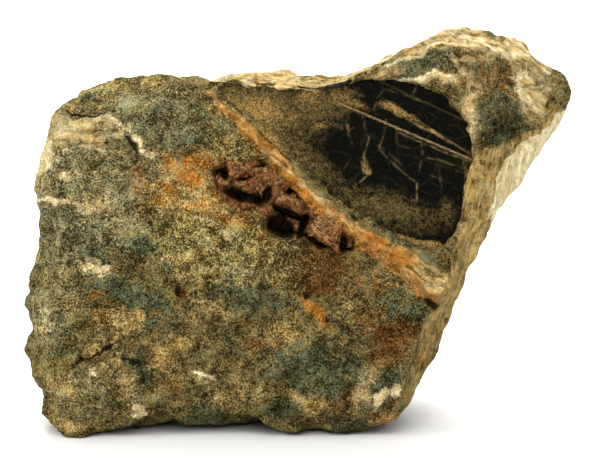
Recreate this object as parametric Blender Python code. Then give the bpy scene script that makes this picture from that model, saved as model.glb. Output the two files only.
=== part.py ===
"""A hand-sized lump of raw yttrotantalite ore: schistose matrix rock, a wedge of black crystal let into
its upper front, and a pocket of rusty blocky crystals beside the pale seam that runs between them.

The stone is a ball of points pushed out along their own rays until they meet its broken faces. The
crystal wedge and the pocket are then cut from it, and the pieces keep a hair's gap to each other.
"""

import itertools
import math

import bmesh
import bpy
import numpy as np
from mathutils import Euler, Matrix, Vector

MM = 0.001

# The stone is laid out in millimetres on a drawing plane that leans back from upright, square to the
# eye that looks at its broken front. Right and up lie on the plane, and depth runs into the stone.
LEAN = math.radians(12)
LEANING = Matrix.Rotation(-LEAN, 4, "X")  # takes right, depth and up to the space axes
UP = np.array([0.0, math.sin(LEAN), math.cos(LEAN)])
DEPTH = np.array([0.0, math.cos(LEAN), -math.sin(LEAN)])

FRONT_DEPTH = -20.0  # where the broken front lies
AHEAD = 10.0  # how far in front of it a cutter starts

# The outline that the eye sees, from the left foot up the left side and round with the clock.
OUTLINE = [
    (-38.4, -2.7), (-41.4, 0.4), (-41.5, 4.0), (-42.9, 7.2), (-44.6, 10.2), (-43.4, 14.5),
    (-44.2, 18.2), (-43.5, 22.6), (-42.1, 25.0), (-41.8, 29.1), (-41.3, 33.0), (-42.5, 36.8),
    (-42.3, 42.0), (-40.7, 45.8), (-38.0, 50.2), (-34.9, 52.4), (-31.4, 54.2), (-26.1, 54.9),
    (-18.8, 54.2), (-14.2, 53.4), (-11.1, 54.7), (-0.1, 55.4), (7.2, 55.0), (10.5, 56.0),
    (16.2, 59.0), (21.1, 60.8), (24.3, 61.7), (30.8, 61.7), (37.0, 60.2), (39.5, 58.1),
    (42.2, 56.0), (44.6, 53.8), (45.2, 51.8), (43.6, 48.1), (39.4, 42.6), (34.3, 36.0),
    (30.1, 29.9), (26.3, 23.4), (24.7, 18.6), (23.2, 14.5), (21.8, 10.1), (19.5, 5.0),
    (17.3, 1.8), (15.6, -1.2), (10.6, -2.9), (7.6, -3.7), (3.0, -2.2), (-1.1, -2.9),
    (-6.1, -0.9), (-16.5, -1.5), (-24.5, -1.0), (-29.4, -2.6), (-36.2, -3.1),
]
WIDEST_DEPTH = -9.0  # behind here the sides draw in
BACK_TAPER = 0.16

# Each broken face is a plane: a point on it (right, up, depth), then how many millimetres deeper it
# gets for each millimetre to the right and each millimetre up.
FRONT_FACES = {
    "broad_front": (0.0, 25.0, FRONT_DEPTH, 0.02, 0.03),
    "left_margin": (-39.5, 25.0, -19.5, -1.1, 0.0),
    "left_shoulder": (-31.0, 48.5, -19.0, -0.45, 0.95),
    "low_left_chip": (-38.0, 4.0, -19.4, -0.5, -0.5),
    "knob_front": (28.4, 45.0, -19.6, 0.62, 0.15),
    "knob_top": (25.5, 59.9, -17.0, 0.3, 1.7),
    "knob_shoulder": (38.0, 56.0, -13.0, 1.3, 1.3),
    "striated_side": (28.9, 41.3, -19.6, 0.86, -0.21),
    "cream_side": (32.5, 41.0, -17.6, 1.3, -0.55),
    "low_right_corner": (14.0, 3.0, -19.3, 0.55, -0.5),
    "front_toe": (-10.0, 0.6, -19.4, 0.0, -0.9),
}
BACK_FACES = {
    "broad_back": (-6.0, 26.0, 22.0, 0.06, -0.12),
    "back_right_slope": (12.0, 30.0, 19.5, -0.42, 0.06),
    "back_left_corner": (-38.0, 28.0, 5.0, 1.5, -0.25),
    "back_left_foot": (-38.0, 6.0, 9.0, 1.1, 0.7),
    "back_top_slope": (-6.0, 55.5, -3.0, 0.25, -1.3),
    "knob_back": (36.0, 52.0, 5.0, -0.8, -0.6),
    "back_low_right": (23.0, 15.0, 3.0, -1.6, 0.85),
}
# The bench along the top, left of the knob, where the front leans back.
BENCH_FOOT = 52.6  # how far up it starts
BENCH_STEEPNESS = 3.0
BENCH_ENDS = (-11.0, 10.0)
BENCH_FADE = 5.0
UNDERSIDE_DROP = 0.6  # how far the rough underside would reach below the surface it rests on
REST_PAD = 9.0  # radius of the flat that is kept sound at the middle of the underside
SIDE_BAND = (-8.0, -12.0)  # the depths between which the sides turn into the front

# The stone's grain, as the size and height of its waves.
SWELL = (17.0, 0.75)
LUMPS = (4.2, 0.34)
SHELL_CHIPS = (9.0, 0.8)
EDGE_WANDER = (6.0, 0.7)
CLEAVED_ROUGHNESS = 0.15  # the crystal's share of that grain
SEED = 41

# The pale seam: its middle line on the drawing plane with its half width, then its blocky right end.
SEAM = [
    (-14.6, 51.6, 0.5), (-12.2, 49.6, 0.8), (-7.0, 45.0, 0.8), (-2.0, 40.0, 0.9), (3.2, 35.0, 1.1),
    (9.0, 30.6, 1.3), (13.0, 27.9, 1.6), (18.0, 25.0, 2.1), (22.0, 21.6, 2.6),
]
SEAM_HEIGHT = 0.7
SEAM_END_HEIGHT = 1.5
SEAM_END_SHARE = 0.25  # how much of its length stands that high

# The black crystal: its outline on the drawing plane and how deep it is let in. Its face has cleaved
# in long ledges that run down across it to the right, and above each ledge the face lies deeper.
CRYSTAL = [
    (-13.4, 53.0), (-7.6, 48.4), (-1.8, 42.6), (4.6, 36.6), (10.8, 31.9), (16.6, 28.8), (21.6, 26.6),
    (24.4, 28.0), (26.0, 30.8), (26.8, 34.6), (27.2, 38.4), (27.9, 41.6), (27.9, 44.2), (26.4, 47.4),
    (23.6, 51.0), (20.0, 52.9), (15.8, 54.0), (11.6, 54.2), (7.2, 53.0), (2.6, 52.0), (-3.4, 52.7),
]
CRYSTAL_DEPTH = 13.0
CRYSTAL_FOOT = 0.86  # the size of its buried end against its face
CRYSTAL_SUNK = 0.6
LEDGES = [  # a point on the ledge, its turn in degrees, the drop, and where it starts on the left
    (17.0, 45.9, -23.0, 0.8, 5.0), (20.0, 48.4, -25.0, 0.5, 12.0), (21.0, 50.9, -22.0, 0.4, 14.0),
    (20.0, 40.2, -27.0, 0.3, 11.0), (20.0, 34.6, -30.0, 0.3, 13.0),
]
LEDGE_WIDTH = 0.5
LEDGE_START_LENGTH = 2.5

# Small cliffs where flakes have come away: two ends of the upper edge, then the drop below it and how
# far off the ground is level again. The low side lies right of the way from the first end to the second.
SCARPS = [
    (-35.0, 48.4, -29.0, 47.2, 0.6, 5.0), (-30.5, 44.6, -24.3, 41.2, 1.2, 4.5),
    (-34.6, 7.6, -26.6, 13.2, 0.6, 5.0), (-27.6, 10.4, -23.6, 2.0, 0.7, 5.0),
    (11.6, 25.6, 22.6, 18.4, 1.5, 6.0), (-20.0, 17.4, -8.0, 14.0, 0.4, 6.0),
    (4.0, 12.6, 13.0, 6.8, 0.5, 5.0), (-42.0, 28.2, -32.0, 26.6, 0.4, 5.0),
    (31.5, 54.8, 40.5, 52.4, 0.9, 5.0), (-9.0, 6.4, 2.0, 9.4, 0.4, 5.0),
]

# The pocket beside the seam: middle on the drawing plane, half length, half width, and its turn.
POCKET = (-2.4, 33.0)
POCKET_HALF_LENGTH = 12.3
POCKET_HALF_WIDTH = 4.7
POCKET_TURN = math.radians(31.0)
POCKET_WAIST = -15.9  # the depth where it is widest
POCKET_FRONT = 9.0  # from the waist to the end that opens on the front
POCKET_BACK = 3.6
CRUST_LEVEL = -16.7  # the crust fills the pocket behind this depth
CRUST_LUMPS = (2.4, 0.75)
POCKET_LUMPS = (0.6, 0.14)  # on an egg of radius 1
EGG_SUBDIVISIONS = 3

# The larger crystals of the crust: right, up and depth of the middle, half its length, width and
# thickness, its turn on the drawing plane and its tip out of it in degrees.
CRUST_CRYSTALS = [
    (-1.7, 34.1, -17.7, 2.5, 1.4, 1.7, 24, 10), (4.3, 30.0, -17.7, 2.6, 2.2, 1.7, 34, -12),
    (-9.9, 38.9, -17.4, 1.7, 1.3, 1.6, -20, 25), (-7.4, 39.2, -17.2, 1.7, 1.0, 1.5, 30, -8),
    (-5.7, 38.1, -17.6, 1.6, 1.2, 1.5, 15, 30), (-10.7, 36.6, -16.9, 1.5, 1.2, 1.4, 70, 12),
    (-8.0, 36.5, -17.2, 1.6, 1.3, 1.4, 8, -28), (-4.7, 36.1, -17.9, 1.1, 0.9, 1.8, 40, 18),
    (-6.1, 34.3, -16.7, 1.6, 1.2, 1.3, -12, -20), (-4.3, 31.7, -16.8, 1.5, 1.2, 1.6, 57, 19),
    (0.3, 31.0, -16.2, 1.7, 1.3, 1.2, 28, -18), (7.3, 28.3, -17.3, 1.3, 1.1, 1.9, 77, 12),
    (1.4, 28.8, -16.8, 1.4, 1.1, 1.4, -35, 26),
]
BLOCK_BEVEL = 0.28  # of a crystal's half width
GAP = 0.3  # between pieces that touch
FOOT_GAP = 0.54  # round the crust's foot, so that its crystals' cut ends stand proud of it

BALL_SUBDIVISIONS = 7
KEPT_TRIANGLES = 0.077  # share of the ball's triangles that the faceted stone keeps
BALL_CENTRE = np.array([-2.0, 1.0, 28.0])
FURTHEST = 75.0  # beyond the stone on every ray
HALVINGS = 22


def on_drawing(points):
    """Right, up and depth of points, in millimetres."""
    return points[:, 0], points @ UP, points @ DEPTH


def smooth_step(value):
    """0 below 0, 1 above 1, and an even s-curve between them."""
    t = np.clip(value, 0.0, 1.0)
    return t * t * (3 - 2 * t)


def noise(points, size, seed):
    """Smooth noise from -1 to 1: random values on a cubic lattice of that size, blended between."""
    period = 64
    table = np.random.default_rng(seed).uniform(-1, 1, (period, period, period))
    cell = np.floor(points / size).astype(np.int64)
    blend = smooth_step(points / size - cell)
    total = np.zeros(len(points))
    for corner in itertools.product((0, 1), repeat=3):
        near = (cell + corner) % period
        weight = np.prod(np.where(corner, blend, 1 - blend), axis=1)
        total += weight * table[near[:, 0], near[:, 1], near[:, 2]]
    return total


def chips(points, size, seed):
    """Shell-shaped chips: the squared distance, in chip sizes, to the nearest of one random centre in
    each cube of the lattice. It is 0 at the bottom of a chip and about 1 on the ridges between."""
    period = 32
    centres = np.random.default_rng(seed).uniform(0, 1, (period, period, period, 3))
    cell = np.floor(points / size).astype(np.int64)
    inside = points / size - cell
    nearest = np.full(len(points), 9.0)
    for step in itertools.product((-1, 0, 1), repeat=3):
        near = (cell + step) % period
        away = centres[near[:, 0], near[:, 1], near[:, 2]] + step - inside
        nearest = np.minimum(nearest, np.sum(away * away, axis=1))
    return np.minimum(nearest, 1.0)


def outline_distance(right, up, outline):
    """Distance to a closed outline on the drawing plane: below 0 inside it."""
    corners = np.array(outline)
    nearest = np.full(len(right), np.inf)
    inside = np.zeros(len(right), bool)
    for start, end in zip(corners, np.roll(corners, -1, axis=0)):
        edge = end - start
        from_start = np.stack([right - start[0], up - start[1]], axis=1)
        along = np.clip(from_start @ edge / (edge @ edge), 0, 1)
        away = from_start - along[:, None] * edge
        nearest = np.minimum(nearest, np.sum(away * away, axis=1))
        crosses = (start[1] > up) != (end[1] > up)
        rise = edge[1] if edge[1] else 1.0
        inside ^= crosses & (right < start[0] + edge[0] * (up - start[1]) / rise)
    return np.where(inside, -1.0, 1.0) * np.sqrt(nearest)


def seam_share(right, up):
    """How far into the seam a point is, 0 outside to 1 in the middle, and how far along it, 0 to 1."""
    line = np.array(SEAM)
    best = np.full(len(right), np.inf)
    along_best = np.zeros(len(right))
    for n, (start, end) in enumerate(zip(line[:-1], line[1:])):
        edge = (end - start)[:2]
        from_start = np.stack([right - start[0], up - start[1]], axis=1)
        along = np.clip(from_start @ edge / (edge @ edge), 0, 1)
        away = np.linalg.norm(from_start - along[:, None] * edge, axis=1)
        width = start[2] + along * (end[2] - start[2])
        share = away / width
        closer = share < best
        best = np.where(closer, share, best)
        along_best = np.where(closer, (n + along) / (len(line) - 1), along_best)
    return smooth_step(1.6 * (1.35 - best)), along_best


def flaked(right, up):
    """How deep the small cliffs have let the ground down."""
    deepest = np.zeros(len(right))
    for right_0, up_0, right_1, up_1, drop, reach in SCARPS:
        edge = np.array([right_1 - right_0, up_1 - up_0])
        length = np.linalg.norm(edge)
        edge /= length
        along = (right - right_0) * edge[0] + (up - up_0) * edge[1]
        below = (right - right_0) * edge[1] - (up - up_0) * edge[0]
        ends = smooth_step(0.5 + along / 2.5) * smooth_step(0.5 + (length - along) / 2.5)
        step = smooth_step(0.5 + below / 0.5) * smooth_step(1 - below / reach)
        deepest = np.maximum(deepest, drop * ends * step)
    return deepest


def front_relief(right, up):
    """How far the rock's front stands proud of its planes: the seam's ridge and the flaked places."""
    in_seam, along = seam_share(right, up)
    at_end = smooth_step((along - 1) / SEAM_END_SHARE + 1)
    ridge = in_seam * (SEAM_HEIGHT + (SEAM_END_HEIGHT - SEAM_HEIGHT) * at_end)
    return ridge - (1 - in_seam) * flaked(right, up)


def cleaved_relief(right, up):
    """How far the crystal's face lies behind the rock's, as a height below 0, ledge by ledge."""
    sunk = np.full(len(right), CRYSTAL_SUNK)
    for right_0, up_0, turn, drop, start in LEDGES:
        turn = math.radians(turn)
        above = (up - up_0) * math.cos(turn) - (right - right_0) * math.sin(turn)
        sunk += drop * smooth_step(above / LEDGE_WIDTH) * smooth_step((right - start) / LEDGE_START_LENGTH)
    return -sunk


def stone_distance(points):
    """Distance outside the stone's broken faces, in millimetres: the greatest over its outline, drawn
    in behind its widest depth, its front and back planes, and its underside."""
    right, up, depth = on_drawing(points)
    furthest = outline_distance(right, up, OUTLINE) + BACK_TAPER * np.maximum(0, depth - WIDEST_DEPTH)
    for faces, side in ((FRONT_FACES, 1.0), (BACK_FACES, -1.0)):
        for right_0, up_0, depth_0, fall_right, fall_up in faces.values():
            plane = depth_0 + fall_right * (right - right_0) + fall_up * (up - up_0)
            steepness = math.sqrt(1 + fall_right**2 + fall_up**2)
            furthest = np.maximum(furthest, side * (plane - depth) / steepness)
    left_end, right_end = BENCH_ENDS
    in_bench = smooth_step((right - left_end) / BENCH_FADE) * smooth_step((right_end - right) / BENCH_FADE)
    bench = in_bench * BENCH_STEEPNESS * np.maximum(0, up - BENCH_FOOT) + FRONT_DEPTH
    furthest = np.maximum(furthest, (bench - depth) / math.sqrt(1 + BENCH_STEEPNESS**2))
    return np.maximum(furthest, -UNDERSIDE_DROP - points[:, 2])


def meet(rays, wander, height):
    """Points on rays from the ball's centre where the stone's faces, moved sideways by wander, are
    overshot by height. Found by halving, because each ray leaves the stone once."""
    near = np.zeros(len(rays))
    far = np.full(len(rays), FURTHEST)
    for _ in range(HALVINGS):
        middle = (near + far) / 2
        out = stone_distance(BALL_CENTRE + rays * middle[:, None] + wander) > height
        far = np.where(out, middle, far)
        near = np.where(out, near, middle)
    return BALL_CENTRE + rays * near[:, None]


def stone_points(rays, cleaved):
    """The stone's surface, one point on each ray. Cleaved, it is the face that the crystal has: even,
    and let down in ledges."""
    smooth = meet(rays, 0.0, 0.0)
    size, reach = EDGE_WANDER
    wander = reach * np.stack([noise(smooth, size, SEED + n) for n in range(3)], axis=1)
    size, height = SHELL_CHIPS
    rough = height * (chips(smooth, size, SEED + 4) - 0.5)
    for n, (size, height) in enumerate((SWELL, LUMPS)):
        rough += height * noise(smooth, size, SEED + 5 + n)
    right, up, depth = on_drawing(smooth)
    if cleaved:
        return meet(rays, CLEAVED_ROUGHNESS * wander, CLEAVED_ROUGHNESS * rough + cleaved_relief(right, up))
    side, front = SIDE_BAND
    on_front = smooth_step((depth - side) / (front - side))
    from_pad = np.hypot(smooth[:, 0], smooth[:, 1]) / REST_PAD
    sound = smooth_step(2.0 - from_pad) * (smooth[:, 2] < 1.0)
    height = (rough + on_front * front_relief(right, up)) * (1 - sound)
    return meet(rays, wander * (1 - sound)[:, None], height)


def add_object(name, mesh, colour, roughness):
    """A named object with its own plain material."""
    material = bpy.data.materials.new(name)
    material.use_nodes = True
    shader = material.node_tree.nodes["Principled BSDF"]
    shader.inputs["Base Color"].default_value = (*colour, 1.0)
    shader.inputs["Roughness"].default_value = roughness
    shader.inputs["Metallic"].default_value = 0.0
    mesh.materials.append(material)
    made = bpy.data.objects.new(name, mesh)
    bpy.context.scene.collection.objects.link(made)
    return made


def add_cutter(name, bm):
    """A hidden helper made from bm, with its faces pointing out."""
    bmesh.ops.recalc_face_normals(bm, faces=bm.faces)
    mesh = bpy.data.meshes.new(name)
    bm.to_mesh(mesh)
    bm.free()
    cutter = bpy.data.objects.new(name, mesh)
    bpy.context.scene.collection.objects.link(cutter)
    cutter.hide_render = True
    cutter.display_type = "WIRE"
    return cutter


def add_boolean(target, operation, cutter):
    modifier = target.modifiers.new(f"{operation.lower()}_{cutter.name}", "BOOLEAN")
    modifier.operation = operation
    modifier.solver = "EXACT"
    modifier.object = cutter


def stone_mesh(name, cleaved):
    """The whole stone, from an icosphere whose points are moved out to its surface."""
    bm = bmesh.new()
    bmesh.ops.create_icosphere(bm, subdivisions=BALL_SUBDIVISIONS, radius=1.0)
    mesh = bpy.data.meshes.new(name)
    bm.to_mesh(mesh)
    bm.free()
    rays = np.empty(len(mesh.vertices) * 3, np.float32)
    mesh.vertices.foreach_get("co", rays)
    rays = rays.reshape(-1, 3).astype(float)
    rays /= np.linalg.norm(rays, axis=1, keepdims=True)
    mesh.vertices.foreach_set("co", (stone_points(rays, cleaved) * MM).astype(np.float32).ravel())
    mesh.update()
    return mesh


def thin_out(target):
    """Keeps the triangles that the stone's edges and facets need."""
    modifier = target.modifiers.new("facets", "DECIMATE")
    modifier.ratio = KEPT_TRIANGLES


def grown(outline, by):
    """The outline moved outwards by a distance: each corner goes along the line between its edges."""
    corners = np.array(outline)
    turn = np.sum(corners[:, 0] * np.roll(corners[:, 1], -1) - np.roll(corners[:, 0], -1) * corners[:, 1])
    moved = []
    for before, here, after in zip(np.roll(corners, 1, axis=0), corners, np.roll(corners, -1, axis=0)):
        normals = []
        for start, end in ((before, here), (here, after)):
            edge = (end - start) / np.linalg.norm(end - start)
            normals.append(np.array([edge[1], -edge[0]]) * np.sign(turn))
        middle = normals[0] + normals[1]
        moved.append(here + by * 2 * middle / (middle @ middle))
    return moved


def crystal_cutter(name, gap):
    """A tapered block with the crystal's outline, from in front of the stone to the crystal's foot."""
    outline = grown(CRYSTAL, gap)
    centre = np.mean(np.array(CRYSTAL), axis=0)
    front_size = 1 + (1 - CRYSTAL_FOOT) * AHEAD / CRYSTAL_DEPTH
    bm = bmesh.new()
    rings = []
    for depth, size in ((FRONT_DEPTH - AHEAD, front_size), (FRONT_DEPTH + CRYSTAL_DEPTH + gap, CRYSTAL_FOOT)):
        ring = []
        for corner in outline:
            right, up = centre + (corner - centre) * size
            ring.append(bm.verts.new(Vector((right, depth, up)) * MM))
        rings.append(ring)
    bm.faces.new(rings[0])
    bm.faces.new(reversed(rings[1]))
    for n in range(len(outline)):
        m = (n + 1) % len(outline)
        bm.faces.new((rings[0][n], rings[1][n], rings[1][m], rings[0][m]))
    bm.transform(LEANING)
    return add_cutter(name, bm)


def pocket_egg(gap, lid):
    """A lumpy egg as long and wide as the pocket, less the gap. With a lid it ends at the rough level
    that the crust fills it to."""
    bm = bmesh.new()
    bmesh.ops.create_icosphere(bm, subdivisions=EGG_SUBDIVISIONS, radius=1.0)
    rays = np.array([v.co for v in bm.verts])
    half = np.full((len(rays), 3), POCKET_HALF_LENGTH)
    half[:, 1] = np.where(rays[:, 1] < 0, POCKET_FRONT, POCKET_BACK)
    half[:, 2] = POCKET_HALF_WIDTH
    size, height = POCKET_LUMPS
    places = rays * (half - gap) * (1 + height * noise(rays, size, SEED + 8))[:, None]
    if lid:
        size, height = CRUST_LUMPS
        level = CRUST_LEVEL - POCKET_WAIST + height * noise(places[:, [0, 2, 2]], size, SEED + 9)
        places[:, 1] = np.maximum(places[:, 1], np.minimum(level, 0.0))
    for vertex, place in zip(bm.verts, places):
        vertex.co = place * MM
    bm.transform(Matrix.Rotation(POCKET_TURN, 4, "Y"))
    bmesh.ops.translate(bm, vec=Vector((POCKET[0], POCKET_WAIST, POCKET[1])) * MM, verts=bm.verts)
    bm.transform(LEANING)
    return bm


def crust_block(n, right, up, depth, length, width, thickness, turn, tip):
    """One of the larger crystals: a bevelled block, turned on the drawing plane and tipped."""
    bm = bmesh.new()
    bmesh.ops.create_cube(bm, size=2.0)
    bmesh.ops.scale(bm, vec=Vector((length, thickness, width)) * MM, verts=bm.verts)
    bevel = BLOCK_BEVEL * width * MM
    bmesh.ops.bevel(bm, geom=list(bm.edges), offset=bevel, segments=1, affect="EDGES")
    tip = math.radians(tip)
    bm.transform(Euler((tip, math.radians(turn), 0.7 * tip)).to_matrix().to_4x4())
    bmesh.ops.translate(bm, vec=Vector((right, depth, up)) * MM, verts=bm.verts)
    bm.transform(LEANING)
    return add_cutter(f"crust_block_{n}", bm)


def crust_mesh(name):
    """The foot of the crust, which fills the deep half of the pocket."""
    bm = pocket_egg(FOOT_GAP, True)
    mesh = bpy.data.meshes.new(name)
    bm.to_mesh(mesh)
    bm.free()
    return mesh


def floor_cutter():
    """The surface that the stone rests on: everything below 0 is cut flat."""
    bm = bmesh.new()
    bmesh.ops.create_cube(bm, size=2 * FURTHEST * MM)
    bmesh.ops.translate(bm, vec=Vector((0, 0, -FURTHEST * MM)), verts=bm.verts)
    return add_cutter("floor", bm)


def build():
    for old in list(bpy.data.objects):
        bpy.data.objects.remove(old)

    matrix = add_object("matrix_rock", stone_mesh("matrix_rock", False), (0.17, 0.16, 0.10), 0.85)
    thin_out(matrix)
    add_boolean(matrix, "DIFFERENCE", floor_cutter())
    add_boolean(matrix, "DIFFERENCE", crystal_cutter("crystal_socket", GAP))
    add_boolean(matrix, "DIFFERENCE", add_cutter("pocket_hollow", pocket_egg(0.0, False)))

    crystal = add_object("black_crystal", stone_mesh("black_crystal", True), (0.02, 0.02, 0.017), 0.3)
    thin_out(crystal)
    add_boolean(crystal, "INTERSECT", crystal_cutter("crystal_block", 0.0))

    crust = add_object("pocket_crystals", crust_mesh("pocket_crystals"), (0.13, 0.07, 0.035), 0.7)
    for n, block in enumerate(CRUST_CRYSTALS):
        add_boolean(crust, "UNION", crust_block(n + 1, *block))
    add_boolean(crust, "INTERSECT", add_cutter("pocket_room", pocket_egg(GAP, False)))


build()
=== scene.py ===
import itertools
import math

import bpy
import numpy as np
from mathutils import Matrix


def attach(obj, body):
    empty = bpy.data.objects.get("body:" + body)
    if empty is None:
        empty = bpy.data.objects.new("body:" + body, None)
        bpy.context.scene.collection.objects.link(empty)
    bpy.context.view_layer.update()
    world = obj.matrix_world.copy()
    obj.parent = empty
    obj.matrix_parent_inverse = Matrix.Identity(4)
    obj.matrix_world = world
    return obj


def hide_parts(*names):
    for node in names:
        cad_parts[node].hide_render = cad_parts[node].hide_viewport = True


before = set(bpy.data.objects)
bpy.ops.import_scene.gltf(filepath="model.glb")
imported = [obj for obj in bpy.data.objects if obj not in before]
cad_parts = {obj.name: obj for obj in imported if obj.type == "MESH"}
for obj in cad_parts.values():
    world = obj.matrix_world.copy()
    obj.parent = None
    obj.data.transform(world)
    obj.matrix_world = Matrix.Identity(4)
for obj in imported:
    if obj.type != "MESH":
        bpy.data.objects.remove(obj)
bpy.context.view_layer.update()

# The rock
# A loose lump of schistose ore matrix, broken on every side: fine dark and pale grains, stained ochre and
# rust by weathering, with a pale seam, a socket for the black crystal and a rusty pocket beside the seam.
MM = 0.001
LEAN = math.radians(12)  # the broken front leans back from upright, square to the eye
RIGHT = np.array([1.0, 0.0, 0.0])
DEPTH = np.array([0.0, math.cos(LEAN), -math.sin(LEAN)])
UP = np.array([0.0, math.sin(LEAN), math.cos(LEAN)])

FRONT_DEPTH = -20.0
OUTLINE = [
    (-38.4, -2.7), (-41.4, 0.4), (-41.5, 4.0), (-42.9, 7.2), (-44.6, 10.2), (-43.4, 14.5), (-44.2, 18.2),
    (-43.5, 22.6), (-42.1, 25.0), (-41.8, 29.1), (-41.3, 33.0), (-42.5, 36.8), (-42.3, 42.0), (-40.7, 45.8),
    (-38.0, 50.2), (-34.9, 52.4), (-31.4, 54.2), (-26.1, 54.9), (-18.8, 54.2), (-14.2, 53.4), (-11.1, 54.7),
    (-0.1, 55.4), (7.2, 55.0), (10.5, 56.0), (16.2, 59.0), (21.1, 60.8), (24.3, 61.7), (30.8, 61.7),
    (37.0, 60.2), (39.5, 58.1), (42.2, 56.0), (44.6, 53.8), (45.2, 51.8), (43.6, 48.1), (39.4, 42.6),
    (34.3, 36.0), (30.1, 29.9), (26.3, 23.4), (24.7, 18.6), (23.2, 14.5), (21.8, 10.1), (19.5, 5.0),
    (17.3, 1.8), (15.6, -1.2), (10.6, -2.9), (7.6, -3.7), (3.0, -2.2), (-1.1, -2.9), (-6.1, -0.9),
    (-16.5, -1.5), (-24.5, -1.0), (-29.4, -2.6), (-36.2, -3.1),
]
WIDEST_DEPTH = -9.0  # behind it the outline draws in by the taper
BACK_TAPER = 0.16
FRONT_FACES = [  # broken faces: a point (right, up, depth), then the fall to the right and upwards
    (0.0, 25.0, FRONT_DEPTH, 0.02, 0.03), (-39.5, 25.0, -19.5, -1.1, 0.0),
    (-31.0, 48.5, -19.0, -0.45, 0.95), (-38.0, 4.0, -19.4, -0.5, -0.5), (28.4, 45.0, -19.6, 0.62, 0.15),
    (25.5, 59.9, -17.0, 0.3, 1.7), (38.0, 56.0, -13.0, 1.3, 1.3), (28.9, 41.3, -19.6, 0.86, -0.21),
    (32.5, 41.0, -17.6, 1.3, -0.55), (14.0, 3.0, -19.3, 0.55, -0.5), (-10.0, 0.6, -19.4, 0.0, -0.9),
]
BACK_FACES = [  # in the same way
    (-6.0, 26.0, 22.0, 0.06, -0.12), (12.0, 30.0, 19.5, -0.42, 0.06), (-38.0, 28.0, 5.0, 1.5, -0.25),
    (-38.0, 6.0, 9.0, 1.1, 0.7), (-6.0, 55.5, -3.0, 0.25, -1.3), (36.0, 52.0, 5.0, -0.8, -0.6),
    (23.0, 15.0, 3.0, -1.6, 0.85),
]
BENCH_FOOT = 52.6  # the bench leans back along the top, left of the knob
BENCH_STEEPNESS = 3.0
BENCH_ENDS = (-11.0, 10.0)
BENCH_FADE = 5.0
REST_PAD = 9.0  # radius of the sound flat underneath
SIDE_BAND = (-8.0, -12.0)  # depths at which a side face passes into the front
SWELL = (17.0, 0.75)  # size and height, as for the three below
LUMPS = (4.2, 0.34)
SHELL_CHIPS = (9.0, 0.8)
EDGE_WANDER = (6.0, 0.7)
SEED = 41
SEAM = [  # right, up and half width of the pale seam, from the top edge down to the right
    (-14.6, 51.6, 0.5), (-12.2, 49.6, 0.8), (-7.0, 45.0, 0.8), (-2.0, 40.0, 0.9), (3.2, 35.0, 1.1),
    (9.0, 30.6, 1.3), (13.0, 27.9, 1.6), (18.0, 25.0, 2.1), (22.0, 21.6, 2.6),
]
SEAM_HEIGHT = 0.5
SEAM_END_HEIGHT = 1.5
SEAM_END_SHARE = 0.25  # how much of its length stands that high
SEAM_SLOPE = math.radians(39)
SEAM_COLOUR_SHIFT = 0.8  # its stain lies mostly below the pale line on its upper edge
SCARPS = [  # small cliffs: two ends of the upper edge, the drop, and where the ground is level again
    (-35.0, 48.4, -29.0, 47.2, 0.6, 5.0), (-30.5, 44.6, -24.3, 41.2, 1.2, 4.5),
    (-34.6, 7.6, -26.6, 13.2, 0.6, 5.0), (-27.6, 10.4, -23.6, 2.0, 0.7, 5.0),
    (11.6, 25.6, 22.6, 18.4, 1.5, 6.0), (-20.0, 17.4, -8.0, 14.0, 0.4, 6.0),
    (4.0, 12.6, 13.0, 6.8, 0.5, 5.0), (-42.0, 28.2, -32.0, 26.6, 0.4, 5.0),
    (31.5, 54.8, 40.5, 52.4, 0.9, 5.0), (-9.0, 6.4, 2.0, 9.4, 0.4, 5.0),
    (-33.0, 13.2, -26.0, 15.2, 0.5, 2.5), (-30.5, 10.0, -25.5, 9.0, 0.5, 2.0),
]
CRYSTAL = [
    (-13.4, 53.0), (-7.6, 48.4), (-1.8, 42.6), (4.6, 36.6), (10.8, 31.9), (16.6, 28.8), (21.6, 26.6),
    (24.0, 28.0), (25.2, 30.8), (26.0, 34.6), (26.6, 38.4), (27.6, 41.2), (27.9, 44.2), (26.4, 47.4),
    (23.6, 51.0), (20.0, 52.9), (15.8, 54.0), (11.6, 54.2), (7.2, 53.0), (2.6, 52.0), (-3.4, 52.7),
]
SOCKET_DEPTH = 3.0  # how far the rock drops under the crystal's skin
SOCKET_EDGE = 0.9
POCKET_RIM = [
    (-13.4, 39.7), (-9.8, 40.9), (-5.3, 40.5), (-4.0, 37.8), (-0.1, 35.6), (1.9, 32.7), (6.4, 29.6),
    (8.4, 28.3), (8.7, 26.7), (7.2, 25.7), (4.0, 26.7), (0.7, 28.3), (-1.7, 27.8), (-4.6, 29.0),
    (-5.8, 30.8), (-5.0, 32.4), (-8.5, 32.9), (-11.5, 34.3), (-13.1, 36.5),
]
POCKET_DEPTH = 6.6
POCKET_WALL = 2.4
FINE_RELIEF = [(2.8, 0.3), (1.2, 0.16), (0.62, 0.1)]
FINE_CHIPS = [(3.8, 0.9), (1.7, 0.42)]
STREAKS = (0.7, 7.0, math.radians(16))  # width, length and rise to the right
STREAK_HEIGHT = 0.14
STRIATIONS = (0.55, 8.0, math.radians(73))
STRIATION_HEIGHT = 0.16
ROCK_CENTRE = (-2.0, 2.0, 28.0)  # right, depth and up of the point that every ray starts from
FURTHEST = 75.0
KEPT_TRIANGLES = 0.62  # share left by the thinning, which spares the front


def to_space(right, depth, up):
    """Points of the drawing in the space axes, still in millimetres."""
    return np.multiply.outer(right, RIGHT) + np.multiply.outer(depth, DEPTH) + np.multiply.outer(up, UP)


def on_drawing(points):
    """Right, up and depth of points."""
    return points @ RIGHT, points @ UP, points @ DEPTH


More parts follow.
